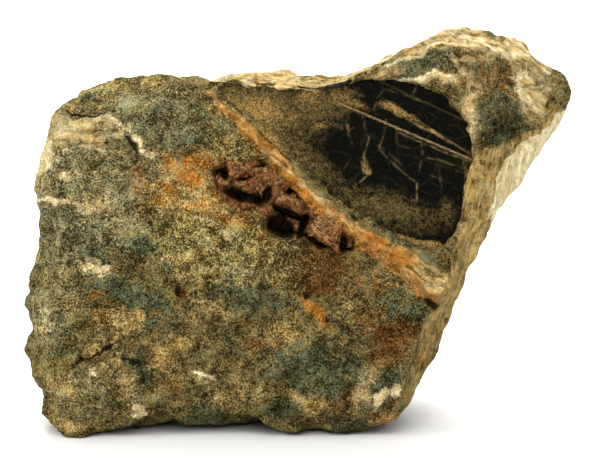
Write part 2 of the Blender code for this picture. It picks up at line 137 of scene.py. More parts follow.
def smooth_step(value):
    """0 below 0, 1 above 1, and an even s-curve between them."""
    t = np.clip(value, 0.0, 1.0)
    return t * t * (3 - 2 * t)


def turned(first, second, angle):
    """Two coordinates turned about their origin, from the first towards the second."""
    cosine, sine = math.cos(angle), math.sin(angle)
    return first * cosine - second * sine, first * sine + second * cosine


def along_and_away(x, y, x_0, y_0, x_1, y_1):
    """The place nearest to a point on a line between two ends: its share of the way, and how far off."""
    run, rise = x_1 - x_0, y_1 - y_0
    along = np.clip(((x - x_0) * run + (y - y_0) * rise) / (run * run + rise * rise), 0, 1)
    return along, np.hypot(x - x_0 - along * run, y - y_0 - along * rise)


def noise(points, size, seed):
    """Smooth noise from -1 to 1: random values on a cubic lattice of that size, blended between."""
    period = 64
    table = np.random.default_rng(seed).uniform(-1, 1, (period, period, period))
    cell = np.floor(points / size).astype(np.int64)
    blend = smooth_step(points / size - cell)
    total = np.zeros(len(points))
    for corner in itertools.product((0, 1), repeat=3):
        near = (cell + corner) % period
        weight = np.prod(np.where(corner, blend, 1 - blend), axis=1)
        total += weight * table[near[:, 0], near[:, 1], near[:, 2]]
    return total


def chips(points, size, seed):
    """Shell-shaped chips: the squared distance, in chip sizes, to the nearest of one random centre in
    each cube of the lattice. It is 0 at the bottom of a chip and about 1 on the ridges between."""
    period = 32
    centres = np.random.default_rng(seed).uniform(0, 1, (period, period, period, 3))
    cell = np.floor(points / size).astype(np.int64)
    inside = points / size - cell
    nearest = np.full(len(points), 9.0)
    for step in itertools.product((-1, 0, 1), repeat=3):
        near = (cell + step) % period
        away = centres[near[:, 0], near[:, 1], near[:, 2]] + step - inside
        nearest = np.minimum(nearest, np.sum(away * away, axis=1))
    return np.minimum(nearest, 1.0)


def outline_distance(right, up, outline):
    """Distance to a closed outline on the drawing plane: below 0 inside it."""
    corners = np.array(outline)
    nearest = np.full(right.shape, np.inf)
    inside = np.zeros(right.shape, bool)
    for (right_0, up_0), (right_1, up_1) in zip(corners, np.roll(corners, -1, axis=0)):
        nearest = np.minimum(nearest, along_and_away(right, up, right_0, up_0, right_1, up_1)[1])
        run, rise = right_1 - right_0, up_1 - up_0
        crosses = (up_0 > up) != (up_1 > up)
        inside ^= crosses & (right < right_0 + run * (up - up_0) / (rise if rise else 1.0))
    return np.where(inside, -1.0, 1.0) * nearest


def seam_share(right, up):
    """How far into the seam a point is, 0 outside to 1 in the middle, and how far along it, 0 to 1."""
    best = np.full(len(right), np.inf)
    along_best = np.zeros(len(right))
    for n, (start, end) in enumerate(zip(SEAM[:-1], SEAM[1:])):
        along, away = along_and_away(right, up, *start[:2], *end[:2])
        share = away / (start[2] + along * (end[2] - start[2]))
        closer = share < best
        best = np.where(closer, share, best)
        along_best = np.where(closer, (n + along) / (len(SEAM) - 1), along_best)
    return smooth_step(1.6 * (1.35 - best)), along_best


def flaked(right, up):
    """How deep the small cliffs have let the ground down."""
    deepest = np.zeros(len(right))
    for right_0, up_0, right_1, up_1, drop, reach in SCARPS:
        length = math.hypot(right_1 - right_0, up_1 - up_0)
        run, rise = (right_1 - right_0) / length, (up_1 - up_0) / length
        along = (right - right_0) * run + (up - up_0) * rise
        below = (right - right_0) * rise - (up - up_0) * run
        ends = smooth_step(0.5 + along / 2.5) * smooth_step(0.5 + (length - along) / 2.5)
        step = smooth_step(0.5 + below / 0.5) * smooth_step(1 - below / reach)
        deepest = np.maximum(deepest, drop * ends * step)
    return deepest


def bench_depth(right, up):
    """Depth of the bench that leans back along the top, left of the knob."""
    left_end, right_end = BENCH_ENDS
    in_bench = smooth_step((right - left_end) / BENCH_FADE) * smooth_step((right_end - right) / BENCH_FADE)
    return in_bench * BENCH_STEEPNESS * np.maximum(0, up - BENCH_FOOT) + FRONT_DEPTH


def front_depth(right, up):
    """Depth of the broken front: the deepest of its planes and of the bench."""
    deepest = bench_depth(right, up)
    for right_0, up_0, depth_0, fall_right, fall_up in FRONT_FACES:
        deepest = np.maximum(deepest, depth_0 + fall_right * (right - right_0) + fall_up * (up - up_0))
    return deepest


def stone_distance(points):
    """Distance outside the stone's broken faces: the greatest over its outline, drawn in behind its
    widest depth, its front and back planes, the bench, and its underside."""
    right, up, depth = on_drawing(points)
    furthest = outline_distance(right, up, OUTLINE) + BACK_TAPER * np.maximum(0, depth - WIDEST_DEPTH)
    for faces, side in ((FRONT_FACES, 1.0), (BACK_FACES, -1.0)):
        for right_0, up_0, depth_0, fall_right, fall_up in faces:
            plane = depth_0 + fall_right * (right - right_0) + fall_up * (up - up_0)
            steepness = math.sqrt(1 + fall_right**2 + fall_up**2)
            furthest = np.maximum(furthest, side * (plane - depth) / steepness)
    behind_bench = (bench_depth(right, up) - depth) / math.sqrt(1 + BENCH_STEEPNESS**2)
    return np.maximum(np.maximum(furthest, behind_bench), -points[:, 2])


def meet(rays, wander, height, near, far, halvings):
    """How far along each ray the stone's faces, moved sideways by wander, are overshot by height. Found
    by halving between near and far, because each ray leaves the stone once."""
    centre = to_space(*ROCK_CENTRE)
    for _ in range(halvings):
        middle = (near + far) / 2
        out = stone_distance(centre + rays * middle[:, None] + wander) > height
        far = np.where(out, middle, far)
        near = np.where(out, near, middle)
    return near


def grid_quads(key):
    """The quads between the points of a grid, given their numbers."""
    return np.stack([key[:-1, :-1], key[1:, :-1], key[1:, 1:], key[:-1, 1:]], axis=-1).reshape(-1, 4)


def box_lattice(*divisions):
    """Points on the faces of a box whose three edges are divided at the given places, and the quads
    between them facing outwards. A point that faces share is one point."""
    counts = [len(places) for places in divisions]
    quads = []
    for axis in range(3):
        first, second = (axis + 1) % 3, (axis + 2) % 3
        for end in (0, counts[axis] - 1):
            index = [end, end, end]
            grid = np.meshgrid(np.arange(counts[first]), np.arange(counts[second]), indexing="ij")
            index[first], index[second] = grid
            side = grid_quads((index[0] * counts[1] + index[1]) * counts[2] + index[2])
            quads.append(side if end else side[:, ::-1])
    keys, faces = np.unique(np.concatenate(quads), return_inverse=True)
    places = [
        np.asarray(divisions[0])[keys // (counts[1] * counts[2])],
        np.asarray(divisions[1])[keys // counts[2] % counts[1]],
        np.asarray(divisions[2])[keys % counts[2]],
    ]
    return np.stack(places, axis=1), faces.reshape(-1, 4)


def normals_of(points, faces):
    """Unit normal at every point: the mean of its faces', each the cross product of its diagonals."""
    corners = points[faces]
    across = np.cross(corners[:, 2] - corners[:, 0], corners[:, 3] - corners[:, 1])
    total = np.zeros_like(points)
    for n in range(4):
        for axis in range(3):
            total[:, axis] += np.bincount(faces[:, n], across[:, axis], len(points))
    return total / np.linalg.norm(total, axis=1, keepdims=True)


def stretched(right, up, depth, width, length, rise):
    """Coordinates in which a round noise becomes streaks of that width and length, that rise so."""
    along, across = turned(right, up, -rise)
    return np.stack([along / length, across / width, depth / width], axis=1)


def add_piece(name, points, faces, attributes, sharp_above=180):
    """An object in metres from points in millimetres, with its attributes, shaded smooth except across
    edges that turn by more than that many degrees."""
    mesh = bpy.data.meshes.new(name)
    mesh.vertices.add(len(points))
    mesh.vertices.foreach_set("co", (points * MM).astype(np.float32).ravel())
    mesh.loops.add(faces.size)
    mesh.loops.foreach_set("vertex_index", faces.astype(np.int32).ravel())
    mesh.polygons.add(len(faces))
    mesh.polygons.foreach_set("loop_start", np.arange(0, faces.size, 4, dtype=np.int32))
    mesh.update(calc_edges=True)
    mesh.shade_smooth()
    mesh.set_sharp_from_angle(angle=math.radians(sharp_above))
    for title, values in attributes.items():
        layer = mesh.attributes.new(title, "FLOAT", "POINT")
        layer.data.foreach_set("value", np.asarray(values, np.float32))
    piece = bpy.data.objects.new(name, mesh)
    bpy.context.scene.collection.objects.link(piece)
    return piece


front_right = np.linspace(-46.0, 46.0, 252)
front_up = np.linspace(-4.0, 64.0, 188)
front_to_back = -21.0 + 45.0 * np.linspace(0.0, 1.0, 62) ** 1.35
lattice, rock_faces = box_lattice(front_right, front_to_back, front_up)
rays = to_space(*(lattice - ROCK_CENTRE).T)
rays /= np.linalg.norm(rays, axis=1, keepdims=True)

reach = meet(rays, 0.0, 0.0, np.zeros(len(rays)), np.full(len(rays), FURTHEST), 15)
smooth_points = to_space(*ROCK_CENTRE) + rays * reach[:, None]
from_pad = np.hypot(smooth_points[:, 0], smooth_points[:, 1]) / REST_PAD
sound = smooth_step(2.0 - from_pad) * (smooth_points[:, 2] < 1.0)
rough = SHELL_CHIPS[1] * (chips(smooth_points, SHELL_CHIPS[0], SEED + 4) - 0.5)
for n, (size, height) in enumerate((SWELL, LUMPS)):
    rough += height * noise(smooth_points, size, SEED + 5 + n)
wander = np.stack([noise(smooth_points, EDGE_WANDER[0], SEED + n) for n in range(3)], axis=1)
wander *= EDGE_WANDER[1] * (1 - sound)[:, None]
reach = meet(rays, wander, rough * (1 - sound), reach - 5, reach + 5, 12)
rock = to_space(*ROCK_CENTRE) + rays * reach[:, None]

right, up, depth = on_drawing(rock)
facing = normals_of(rock, rock_faces)
facing_right, facing_up, facing_depth = on_drawing(facing)
on_front = smooth_step((depth - SIDE_BAND[0]) / (SIDE_BAND[1] - SIDE_BAND[0]))
on_front *= smooth_step((0.25 - facing_depth) / 0.3)
in_seam, along_seam = seam_share(right, up)
at_end = smooth_step((along_seam - 1) / SEAM_END_SHARE + 1)
ridge = in_seam * (SEAM_HEIGHT + (SEAM_END_HEIGHT - SEAM_HEIGHT) * at_end)
crooked = 0.35 * noise(rock, 1.6, SEED + 20) + 0.2 * noise(rock, 0.7, SEED + 21)
from_crystal = outline_distance(right, up, CRYSTAL) + crooked
socket = smooth_step(0.35 - from_crystal / SOCKET_EDGE)
from_pocket = outline_distance(right, up, POCKET_RIM) + 1.6 * crooked
hollow = smooth_step(0.15 - from_pocket / POCKET_WALL)
deeper = (1 - in_seam) * flaked(right, up) - ridge + SOCKET_DEPTH * socket + POCKET_DEPTH * hollow
rock += np.multiply.outer(on_front * deeper, DEPTH)

relief = np.zeros(len(rock))
for n, (size, height) in enumerate(FINE_RELIEF):
    relief += height * noise(rock, size, SEED + 30 + n)
on_side = smooth_step((facing_right - 0.3) / 0.3)
for n, (size, height) in enumerate(FINE_CHIPS):
    relief += height * (1 - on_side) * (chips(rock, size, SEED + 33 + n) - 0.5)
relief += STREAK_HEIGHT * noise(stretched(right, up, depth, *STREAKS), 1.0, SEED + 35)
striations = noise(stretched(right, up, 0 * depth, *STRIATIONS), 1.0, SEED + 36)
relief += on_side * on_front * STRIATION_HEIGHT * striations
rock += normals_of(rock, rock_faces) * (relief * (1 - sound) * (1 - 0.7 * socket))[:, None]
rock[:, 2] = np.maximum(rock[:, 2], 0.0)

# Where the rock's colours lie. On the front each patch is a soft ellipse: its middle, half length and
# half width in pixels of the 600x463 photograph, its turn with the clock in degrees, and its strength.
PIXELS_PER_MM = 6.144
PHOTO_MIDDLE = 300.5
PHOTO_GROUND = 414.0
PATCHES = {
    "tan": [
        (396, 71, 24, 5, -28, 0.9), (440, 44, 40, 8, -12, 1.0), (505, 47, 48, 9, 14, 1.0),
        (550, 78, 24, 9, 45, 1.0), (426, 79, 34, 4, -5, 0.9), (470, 105, 7, 26, 0, 1.0),
        (531, 105, 13, 12, 0, 1.25), (524, 80, 15, 5, 45, 0.8), (470, 62, 20, 3, -5, 0.6),
        (88, 136, 30, 11, 5, 0.85), (301, 183, 46, 1.3, 41, 0.8), (365, 231, 36, 1.6, 31, 0.9),
        (427, 275, 19, 8, 31, 1.15), (362, 392, 7, 19, 25, 0.9), (372, 376, 16, 3, -10, 0.7),
        (228, 108, 22, 2.0, 42, 0.8),
    ],
    # painted light: pale patches, mostly on the left, where the front is lit brighter
    "painted_light_patches": [
        (80, 170, 44, 34, 10, 0.85), (92, 215, 44, 24, 0, 0.6), (50, 280, 26, 50, 0, 0.5),
        (240, 255, 50, 24, 15, 0.35), (150, 112, 60, 22, 0, 0.45), (90, 135, 46, 18, 0, 0.7),
        (100, 395, 44, 22, 0, 0.3),
    ],
    "green": [
        (160, 125, 42, 26, 10, 0.9), (93, 97, 8, 6, 0, 0.8), (80, 168, 24, 15, 20, 0.9),
        (112, 178, 14, 13, 0, 0.7), (66, 220, 26, 12, 10, 0.8), (120, 205, 14, 7, 0, 0.6),
        (85, 240, 40, 26, 10, 0.7), (138, 243, 12, 8, 10, 1.0), (87, 252, 5, 9, 0, 1.0),
        (132, 293, 40, 9, 20, 1.0), (170, 270, 12, 10, 0, 0.5), (60, 330, 25, 25, 0, 0.5),
        (165, 320, 22, 14, 0, 0.5), (228, 354, 24, 11, 0, 0.4), (262, 372, 16, 9, 0, 0.35),
        (143, 370, 7, 18, 0, 1.0), (131, 357, 11, 4, 10, 0.9), (250, 295, 28, 12, 10, 1.0),
        (212, 412, 17, 9, 0, 0.9), (283, 407, 13, 8, 0, 1.0), (318, 368, 36, 20, 10, 1.0),
        (345, 330, 20, 12, 0, 0.6), (390, 300, 14, 10, 0, 0.8), (188, 154, 15, 7, 0, 0.8),
        (421, 65, 21, 8, -12, 1.4), (478, 70, 26, 9, 10, 0.4), (501, 119, 25, 24, 10, 0.85),
        (478, 90, 14, 10, 0, 0.4), (558, 96, 6, 10, 10, 0.7), (494, 36, 14, 4, 5, 0.9),
        (418, 243, 38, 14, 15, 0.6), (415, 310, 12, 10, 0, 0.7), (386, 379, 14, 9, -30, 1.1),
        (370, 405, 8, 6, 0, 0.7), (350, 425, 18, 8, 0, 0.8), (230, 130, 12, 10, 0, 0.4),
    ],
    "ochre": [
        (88, 140, 34, 16, 0, 0.8), (190, 172, 24, 18, 0, 0.9), (200, 199, 46, 18, 10, 1.1),
        (125, 318, 26, 11, 0, 0.8), (68, 387, 11, 11, 0, 0.8), (115, 360, 9, 6, 0, 0.8),
        (129, 386, 7, 18, 0, 0.6), (166, 358, 11, 10, 0, 0.7), (208, 380, 12, 7, 20, 0.65),
        (82, 424, 28, 6, 0, 0.8), (224, 398, 9, 6, 0, 0.8), (242, 385, 7, 5, 0, 0.8),
        (282, 336, 12, 12, 0, 0.8), (384, 352, 20, 11, 0, 0.5), (320, 410, 14, 8, 0, 0.5),
        (388, 419, 17, 10, 0, 1.2), (110, 90, 48, 8, 0, 0.7), (73, 109, 8, 4, 0, 0.9),
        (405, 112, 20, 7, 20, 0.9), (470, 108, 8, 22, 0, 0.8), (530, 106, 16, 12, 20, 0.8),
        (498, 87, 18, 10, 0, 0.75), (110, 345, 20, 16, 0, 0.5), (200, 330, 20, 12, 0, 0.5),
        (207, 303, 15, 8, 25, 0.9), (188, 262, 18, 14, 0, 0.7), (232, 252, 20, 8, 20, 0.7),
        (158, 345, 6, 8, 0, 0.8), (225, 320, 10, 7, 0, 0.6), (184, 340, 12, 5, 20, 0.7),
        (262, 392, 16, 8, -20, 0.6), (300, 397, 16, 5, 20, 0.5), (352, 298, 16, 8, 0, 0.5),
        (395, 285, 16, 5, 20, 0.7), (298, 262, 12, 8, 0, 0.6),
    ],
    "cream": [
        (115, 124, 14, 4, 22, 0.9), (138, 140, 12, 2, 45, 0.8), (143, 152, 5, 2, 20, 0.8),
        (45, 158, 10, 12, 0, 1.5), (56, 203, 16, 2.5, 0, 0.9), (98, 205, 18, 6, -20, 0.62),
        (68, 178, 5, 5, 0, 0.7), (101, 267, 14, 5, 0, 0.6), (47, 320, 8, 18, 0, 0.5),
        (208, 374, 10, 3, 25, 0.9), (95, 373, 5, 7, 0, 0.5), (143, 411, 6, 6, 0, 1.0),
        (360, 388, 4, 8, 20, 0.6), (378, 396, 2.6, 10, 30, 1.3), (395, 388, 5.5, 5.5, 0, 1.1),
        (427, 78, 30, 1.8, -6, 0.8), (573, 94, 1.6, 10, -10, 0.8), (500, 50, 44, 2, 16, 0.9),
        (548, 72, 16, 2.5, 38, 0.8), (455, 66, 12, 2, 40, 0.8), (412, 57, 34, 2, -22, 0.8),
        (470, 128, 3, 20, 5, 0.6), (520, 92, 3, 12, -30, 0.7), (88, 150, 30, 1.5, 0, 0.6),
        (84, 134, 26, 1.5, 0, 0.5), (228, 233, 5, 3, 0, 0.5), (203, 221, 12, 3, 0, 0.4),
        (152, 155, 12, 3, 0, 0.5), (64, 180, 4, 4, 0, 0.7), (530, 100, 12, 1.5, 55, 0.8),
        (182, 96, 12, 1.2, 10, 0.6),
    ],
    "sugar": [
        (236, 256, 46, 20, 15, 1.0), (200, 224, 28, 7, 0, 0.8), (182, 240, 24, 16, 0, 0.6),
        (234, 150, 28, 11, 28, 0.55), (207, 172, 9, 7, 0, 0.6), (117, 153, 10, 9, 0, 0.7),
        (255, 222, 20, 10, 20, 0.8), (120, 210, 30, 12, 0, 0.4),
    ],
    "brown": [
        (137, 176, 14, 13, 0, 0.8), (246, 184, 32, 20, 20, 1.0), (318, 268, 26, 24, 30, 0.9),
        (285, 180, 16, 8, 50, 0.9), (300, 215, 30, 14, 35, 0.8), (345, 240, 20, 9, 30, 0.8),
        (385, 330, 34, 14, 10, 0.8), (384, 352, 20, 11, 0, 0.7), (345, 400, 26, 16, 0, 0.5),
        (388, 420, 16, 10, 0, 0.5), (492, 84, 30, 14, 8, 0.55), (500, 128, 20, 14, 0, 0.5),
        (370, 290, 22, 12, 20, 0.6), (160, 350, 20, 12, 0, 0.4), (260, 345, 26, 8, 0, 0.4),
        (262, 158, 10, 10, 50, 0.8), (170, 385, 20, 10, 0, 0.4),
    ],
    "rust": [
        (190, 168, 17, 12, 0, 0.66), (196, 183, 6, 6, 0, 0.85), (170, 195, 14, 9, 0, 0.5),
        (96, 294, 5, 4, 0, 0.55), (184, 291, 3, 5, -20, 0.8), (308, 306, 8, 4, 40, 1.0),
        (320, 317, 9, 4, 45, 0.9), (302, 192, 36, 4, 42, 0.9), (372, 240, 30, 5, 33, 0.8),
        (250, 133, 18, 4, 45, 0.6), (390, 420, 9, 6, 0, 0.7), (400, 258, 14, 6, 30, 0.8),
        (238, 219, 10, 6, 0, 0.6), (275, 172, 9, 5, 50, 0.6), (196, 196, 40, 16, 10, 0.3),
        (240, 225, 30, 6, 25, 0.42), (330, 225, 14, 5, 35, 0.7), (362, 168, 9, 5, 0, 0.6),
    ],
    # painted shade: dark lines under small ledges, in a notch and under the seam's end, with dark cracks
    # and holes
    "deep": [
        (93, 97, 5, 4, 0, 0.6), (135, 146, 11, 2.4, 42, 0.9), (84, 115, 32, 1.2, 6, 0.9),
        (306, 296, 3, 4, 0, 1.0), (121, 340, 17, 1.2, -25, 0.9), (131, 356, 10, 1.5, 10, 0.8),
        (143, 369, 2, 17, 5, 0.7), (214, 99, 5, 1.2, 40, 0.6), (182, 290, 4, 7, -20, 0.9),
        (325, 318, 6, 3, 45, 0.7), (424, 301, 10, 3, 25, 0.9), (150, 225, 6, 2, 10, 0.7),
        (504, 124, 22, 18, 10, 0.55), (460, 68, 18, 4, 10, 0.5), (250, 297, 18, 7, 5, 0.45),
        (100, 352, 26, 1.6, -31, 0.9), (280, 405, 10, 6, 0, 0.4),
    ],
}
STRIP_EDGE = [  # left edge of the striated strip beside the crystal and below it: y and x in the photograph
    (80, 600), (100, 572), (110, 560), (120, 545), (128, 530), (140, 514), (147, 498), (151, 478),
    (165, 464), (200, 460), (230, 457), (260, 454), (280, 447), (300, 434), (320, 421), (345, 416),
    (375, 410), (400, 404), (414, 420),
]
SIDE_EDGE = [  # left edge of the cream side face
    (80, 580), (95, 574), (110, 562), (125, 547), (140, 529), (150, 516), (165, 501), (180, 494),
    (200, 489), (220, 483), (250, 476), (414, 430),
]
KNOB_RIDGE = [  # x and y along the bands of the knob in the photograph
    (215, 78), (330, 84), (356, 80), (380, 70), (410, 58), (440, 47), (470, 46), (500, 53), (530, 64),
    (560, 82), (580, 100),
]
ELSEWHERE = {  # size of the patches on the other sides in millimetres, and how common they are
    "green": (7.0, 0.5), "ochre": (5.0, 0.0), "cream": (6.0, -0.4), "brown": (9.0, -0.2),
    "rust": (8.0, -0.6),
}


def in_photo(points, right, up, *waves):
    """The pixel that each point falls on, moved a little by noise: height, size and two seeds a wave."""
    x, y = PHOTO_MIDDLE + right * PIXELS_PER_MM, PHOTO_GROUND - up * PIXELS_PER_MM
    for height, size, seed_x, seed_y in waves:
        x = x + height * noise(points, size, seed_x)
        y = y + height * noise(points, size, seed_y)
    return x, y


def right_of(x, y, edge, softness):
    """1 to the right of an edge line given as (y, x) places, 0 to the left, soft over some pixels."""
    return smooth_step(0.5 + (x - np.interp(y, *np.array(edge).T)) / softness)


def patch_share(x, y, ellipses):
    """How much a pigment covers: the most that any of its soft ellipses gives, 1 well inside one."""
    share = np.zeros(len(x))
    for x_0, y_0, half_length, half_width, turn, strength in ellipses:
        along, across = turned(x - x_0, y - y_0, -math.radians(turn))
        from_middle = np.hypot(along / half_length, across / half_width)
        share = np.maximum(share, strength * np.clip(1.3 - 0.65 * from_middle, 0, 1))
    return share


right, up, depth = on_drawing(rock)
photo_x, photo_y = in_photo(rock, right, up, (5, 2.4, 60, 62), (2, 0.8, 61, 63))
colours = {name: on_front * patch_share(photo_x, photo_y, ellipses) for name, ellipses in PATCHES.items()}
front_green = np.clip(colours["green"], 0, 1)
at_corner = smooth_step((right - 32) / 4) * smooth_step((up - 46) / 5) * smooth_step((12 - depth) / 5)
not_front = (1 - on_front) * (1 - at_corner)
for n, (name, (size, bias)) in enumerate(ELSEWHERE.items()):
    cloud = bias + 0.9 * noise(rock, size, 70 + n) + 0.5 * noise(rock, size / 3, 80 + n)
    colours[name] = np.maximum(colours[name], not_front * smooth_step(cloud))
frayed = 3 * noise(rock, 5.0, 65) + 1.5 * noise(rock, 1.6, 66)
tan_top = smooth_step((facing_up - 0.3) / 0.35) * smooth_step((up - 48 + frayed) / 3)
tan_top *= smooth_step((right + 17) / 4) * smooth_step((3 - depth + 3.5 * frayed) / 12)
in_sight = smooth_step((0.35 - facing_depth) / 0.3)
strip = in_sight * right_of(photo_x, photo_y, STRIP_EDGE, 6)
side = in_sight * right_of(photo_x, photo_y, SIDE_EDGE, 5)
side *= smooth_step((232 - photo_y + 30 * noise(rock, 5.0, 64)) / 45)
side *= smooth_step((8 - depth + 8 * noise(rock, 4.0, 69)) / 14)
colours["tan"] = np.maximum(0.9 * tan_top, colours["tan"]) * (1 - 0.85 * front_green)
plain_x, plain_y = in_photo(rock, right, up)
under_ridge = (plain_y - np.interp(plain_x, *np.array(KNOB_RIDGE).T)) / PIXELS_PER_MM
under_ridge += 0.2 * noise(rock, 2.4, 67)
banded = noise(np.stack([0.07 * right, 0.5 * depth, under_ridge], axis=1), 0.9, 68)
across_seam = (up - np.interp(right, *np.array(SEAM).T[:2])) * math.cos(SEAM_SLOPE)
across_seam += 0.2 * noise(rock, 2.4, 57)
colours["bank"] = MM * np.where(in_seam > 0.02, across_seam, under_ridge)
near_ridge = colours["tan"] * smooth_step((5 - under_ridge) / 2) * smooth_step((right - 5) / 5)
colours["cream"] = np.maximum(colours["cream"], 0.9 * near_ridge * smooth_step((banded - 0.02) * 3))
colours["brown"] = np.maximum(colours["brown"], 0.8 * near_ridge * smooth_step((-0.2 - banded) * 3))
colours["striped"] = strip * (0.95 - 0.4 * smooth_step((photo_y - 250) / 60))
colours["streaky"] = strip
colours["swept"] = np.clip(1.2 * colours["tan"], 0, 1) * smooth_step((16 - under_ridge) / 4)
colours["cream"] = np.maximum(colours["cream"], 0.9 * side)
lower = SEAM_COLOUR_SHIFT * smooth_step((along_seam - 0.3) / 0.2)
stained_seam, _ = seam_share(right + lower, up + lower)
colours["seam"] = on_front * stained_seam * (0.8 + 0.3 * noise(rock, 2.0, 64))
colours["swept"] = np.maximum(colours["swept"], 0.8 * on_front * smooth_step(1.4 * in_seam - 0.2))
# Painted shade and light: the fine relief's height, which the shader turns darker in low spots and paler on
# high ones
colours["relief"] = 0.5 + 0.5 * np.clip(relief / 0.7, -1, 1)
# Painted shade in the pocket: its walls get a rust-brown stain that is painted near black at its darkest
colours["hollow"] = on_front * smooth_step(-0.1 - from_pocket)

rock_piece = add_piece("matrix_rock_skin", rock, rock_faces, colours)
behind = rock_piece.vertex_groups.new(name="behind")
levels = np.round(4 * smooth_step((depth + 14) / 12)).astype(int)
for level in range(5):
    behind.add(np.nonzero(levels == level)[0].tolist(), 0.25 + 0.75 * level / 4, "REPLACE")
thinning = rock_piece.modifiers.new("thinning", "DECIMATE")
thinning.ratio = KEPT_TRIANGLES
thinning.vertex_group = "behind"


def srgb(*display):
    """A colour given as three display values from 0 to 255, as the shader wants it."""
    share = np.array(display) / 255
    linear = np.where(share <= 0.04045, share / 12.92, ((share + 0.055) / 1.055) ** 2.4)
    return (*linear, 1.0)


def add_node(tree, kind, inputs=(), **settings):
    """A node with its settings, whose inputs are values or other nodes' sockets, by name or place."""
    made = tree.nodes.new("ShaderNode" + kind)
    for name, value in settings.items():
        setattr(made, name, value)
    for key, value in dict(inputs).items():
        if isinstance(value, bpy.types.NodeSocket):
            tree.links.new(value, made.inputs[key])
        else:
            made.inputs[key].default_value = value
    return made


def add_math(tree, operation, first, second=0.0, third=0.0, clamp=False):
    """The result of one Math node."""
    values = {0: first, 1: second, 2: third}
    return add_node(tree, "Math", values, operation=operation, use_clamp=clamp).outputs[0]


def add_mix(tree, share, first, second, blend="MIX"):
    """The result of one colour Mix node."""
    inputs = {0: share, 6: first, 7: second}
    return add_node(tree, "Mix", inputs, data_type="RGBA", blend_type=blend).outputs[2]


def add_noise(tree, place, per_metre, detail, roughness=0.5, distortion=0.0):
    """The value of a noise texture."""
    inputs = {"Vector": place, "Scale": per_metre, "Detail": detail, "Roughness": roughness}
    return add_node(tree, "TexNoise", {**inputs, "Distortion": distortion}).outputs[0]


def attribute(tree, name):
    """The value of one of the mesh's attributes."""
    return add_node(tree, "Attribute", attribute_name=name).outputs["Fac"]


def add_bump(tree, height, distance, strength, **normal):
    """The normal of a height, over another normal if one is given as Normal."""
    inputs = {"Height": height, "Distance": distance, "Strength": strength, **normal}
    return add_node(tree, "Bump", inputs).outputs[0]


def add_group(name, inputs, outputs):
    """A shader node group with its sockets, and its two end nodes."""
    group = bpy.data.node_groups.new(name, "ShaderNodeTree")
    for side, sockets in (("INPUT", inputs), ("OUTPUT", outputs)):
        for title, (kind, value) in sockets.items():
            socket = group.interface.new_socket(title, in_out=side, socket_type="NodeSocket" + kind)
            if value is not None:
                socket.default_value = value
    return group, group.nodes.new("NodeGroupInput").outputs, group.nodes.new("NodeGroupOutput").inputs


def grain_group():
    """Mineral grains: noise of several sizes down to a tenth of a millimetre, with a random tone for
    each packed grain and dark cracks between the grains where they are wanted. All run from 0 to 1."""
    group, given, wanted = add_group(
        "mineral grains",
        {"Vector": ("Vector", None), "Grains per metre": ("Float", 2200.0), "Cracks": ("Float", 0.0),
         "Contrast": ("Float", 3.0)},
        {"Tone": ("Float", None), "Height": ("Float", None), "Grain": ("Float", None)},
    )
    size = {"Vector": given["Vector"], "Scale": given["Grains per metre"]}
    cells = add_node(group, "TexVoronoi", size)
    cell_tone = add_node(group, "SeparateColor", {0: cells.outputs["Color"]}).outputs[0]
    edges = add_node(group, "TexVoronoi", size, feature="DISTANCE_TO_EDGE").outputs["Distance"]
    crack = add_math(group, "SUBTRACT", 1.0, add_math(group, "MULTIPLY", edges, 5.0), clamp=True)
    coarse = add_math(group, "MULTIPLY", given["Grains per metre"], 0.7)
    mottle = add_noise(group, given["Vector"], coarse, 3.0, 0.75, 0.5)
    both = add_math(group, "MULTIPLY_ADD", cell_tone, 0.07, mottle)
    centred = add_math(group, "SUBTRACT", both, 0.535)
    spread = add_math(group, "MULTIPLY_ADD", centred, given["Contrast"], 0.42)
    crack = add_math(group, "MULTIPLY", crack, given["Cracks"])
    tone = add_math(group, "SUBTRACT", spread, crack, clamp=True)
    group.links.new(tone, wanted["Tone"])
    group.links.new(cell_tone, wanted["Grain"])
    group.links.new(add_math(group, "MULTIPLY_ADD", tone, 0.4, mottle), wanted["Height"])
    return group


def pigment_group():
    """A pigment laid over a dark and a light colour: it covers where its share, frayed by noise, is
    over a half."""
    group, given, wanted = add_group(
        "patchy pigment",
        {"Vector": ("Vector", None), "Dark": ("Color", None), "Light": ("Color", None),
         "Share": ("Float", 0.0), "Patches per metre": ("Float", 500.0), "Fraying": ("Float", 2.4),
         "Edge": ("Float", 1.6), "Grain": ("Float", 0.5),
         "Dark pigment": ("Color", None), "Light pigment": ("Color", None)},
        {"Dark": ("Color", None), "Light": ("Color", None), "Mask": ("Float", None)},
    )
    fray = add_noise(group, given["Vector"], given["Patches per metre"], 5.0, 0.68)
    fray = add_math(group, "MULTIPLY", add_math(group, "SUBTRACT", fray, 0.5), given["Fraying"])
    fray = add_math(group, "MULTIPLY", fray, add_math(group, "MULTIPLY", given["Share"], 3.0, clamp=True))
    stray = add_math(group, "MULTIPLY_ADD", given["Grain"], 0.2, -0.6)
    over = add_math(group, "ADD", add_math(group, "ADD", given["Share"], fray), stray)
    mask = add_math(group, "MULTIPLY_ADD", over, given["Edge"], 0.5, clamp=True)
    group.links.new(mask, wanted["Mask"])
    group.links.new(add_mix(group, mask, given["Dark"], given["Dark pigment"]), wanted["Dark"])
    group.links.new(add_mix(group, mask, given["Light"], given["Light pigment"]), wanted["Light"])
    return group


mineral_grains = grain_group()
patchy_pigment = pigment_group()


def grainy_material(name, per_metre, contrast, cracks=0.0):
    """A new material for stone, with its node tree, its shader's inputs, the place and its grains."""
    material = bpy.data.materials.new(name)
    material.use_nodes = True
    tree = material.node_tree
    place = add_node(tree, "TexCoord").outputs["Object"]
    values = {"Vector": place, "Grains per metre": per_metre, "Contrast": contrast, "Cracks": cracks}
    grains = add_node(tree, "Group", values, node_tree=mineral_grains)
    return material, tree, tree.nodes["Principled BSDF"].inputs, place, grains


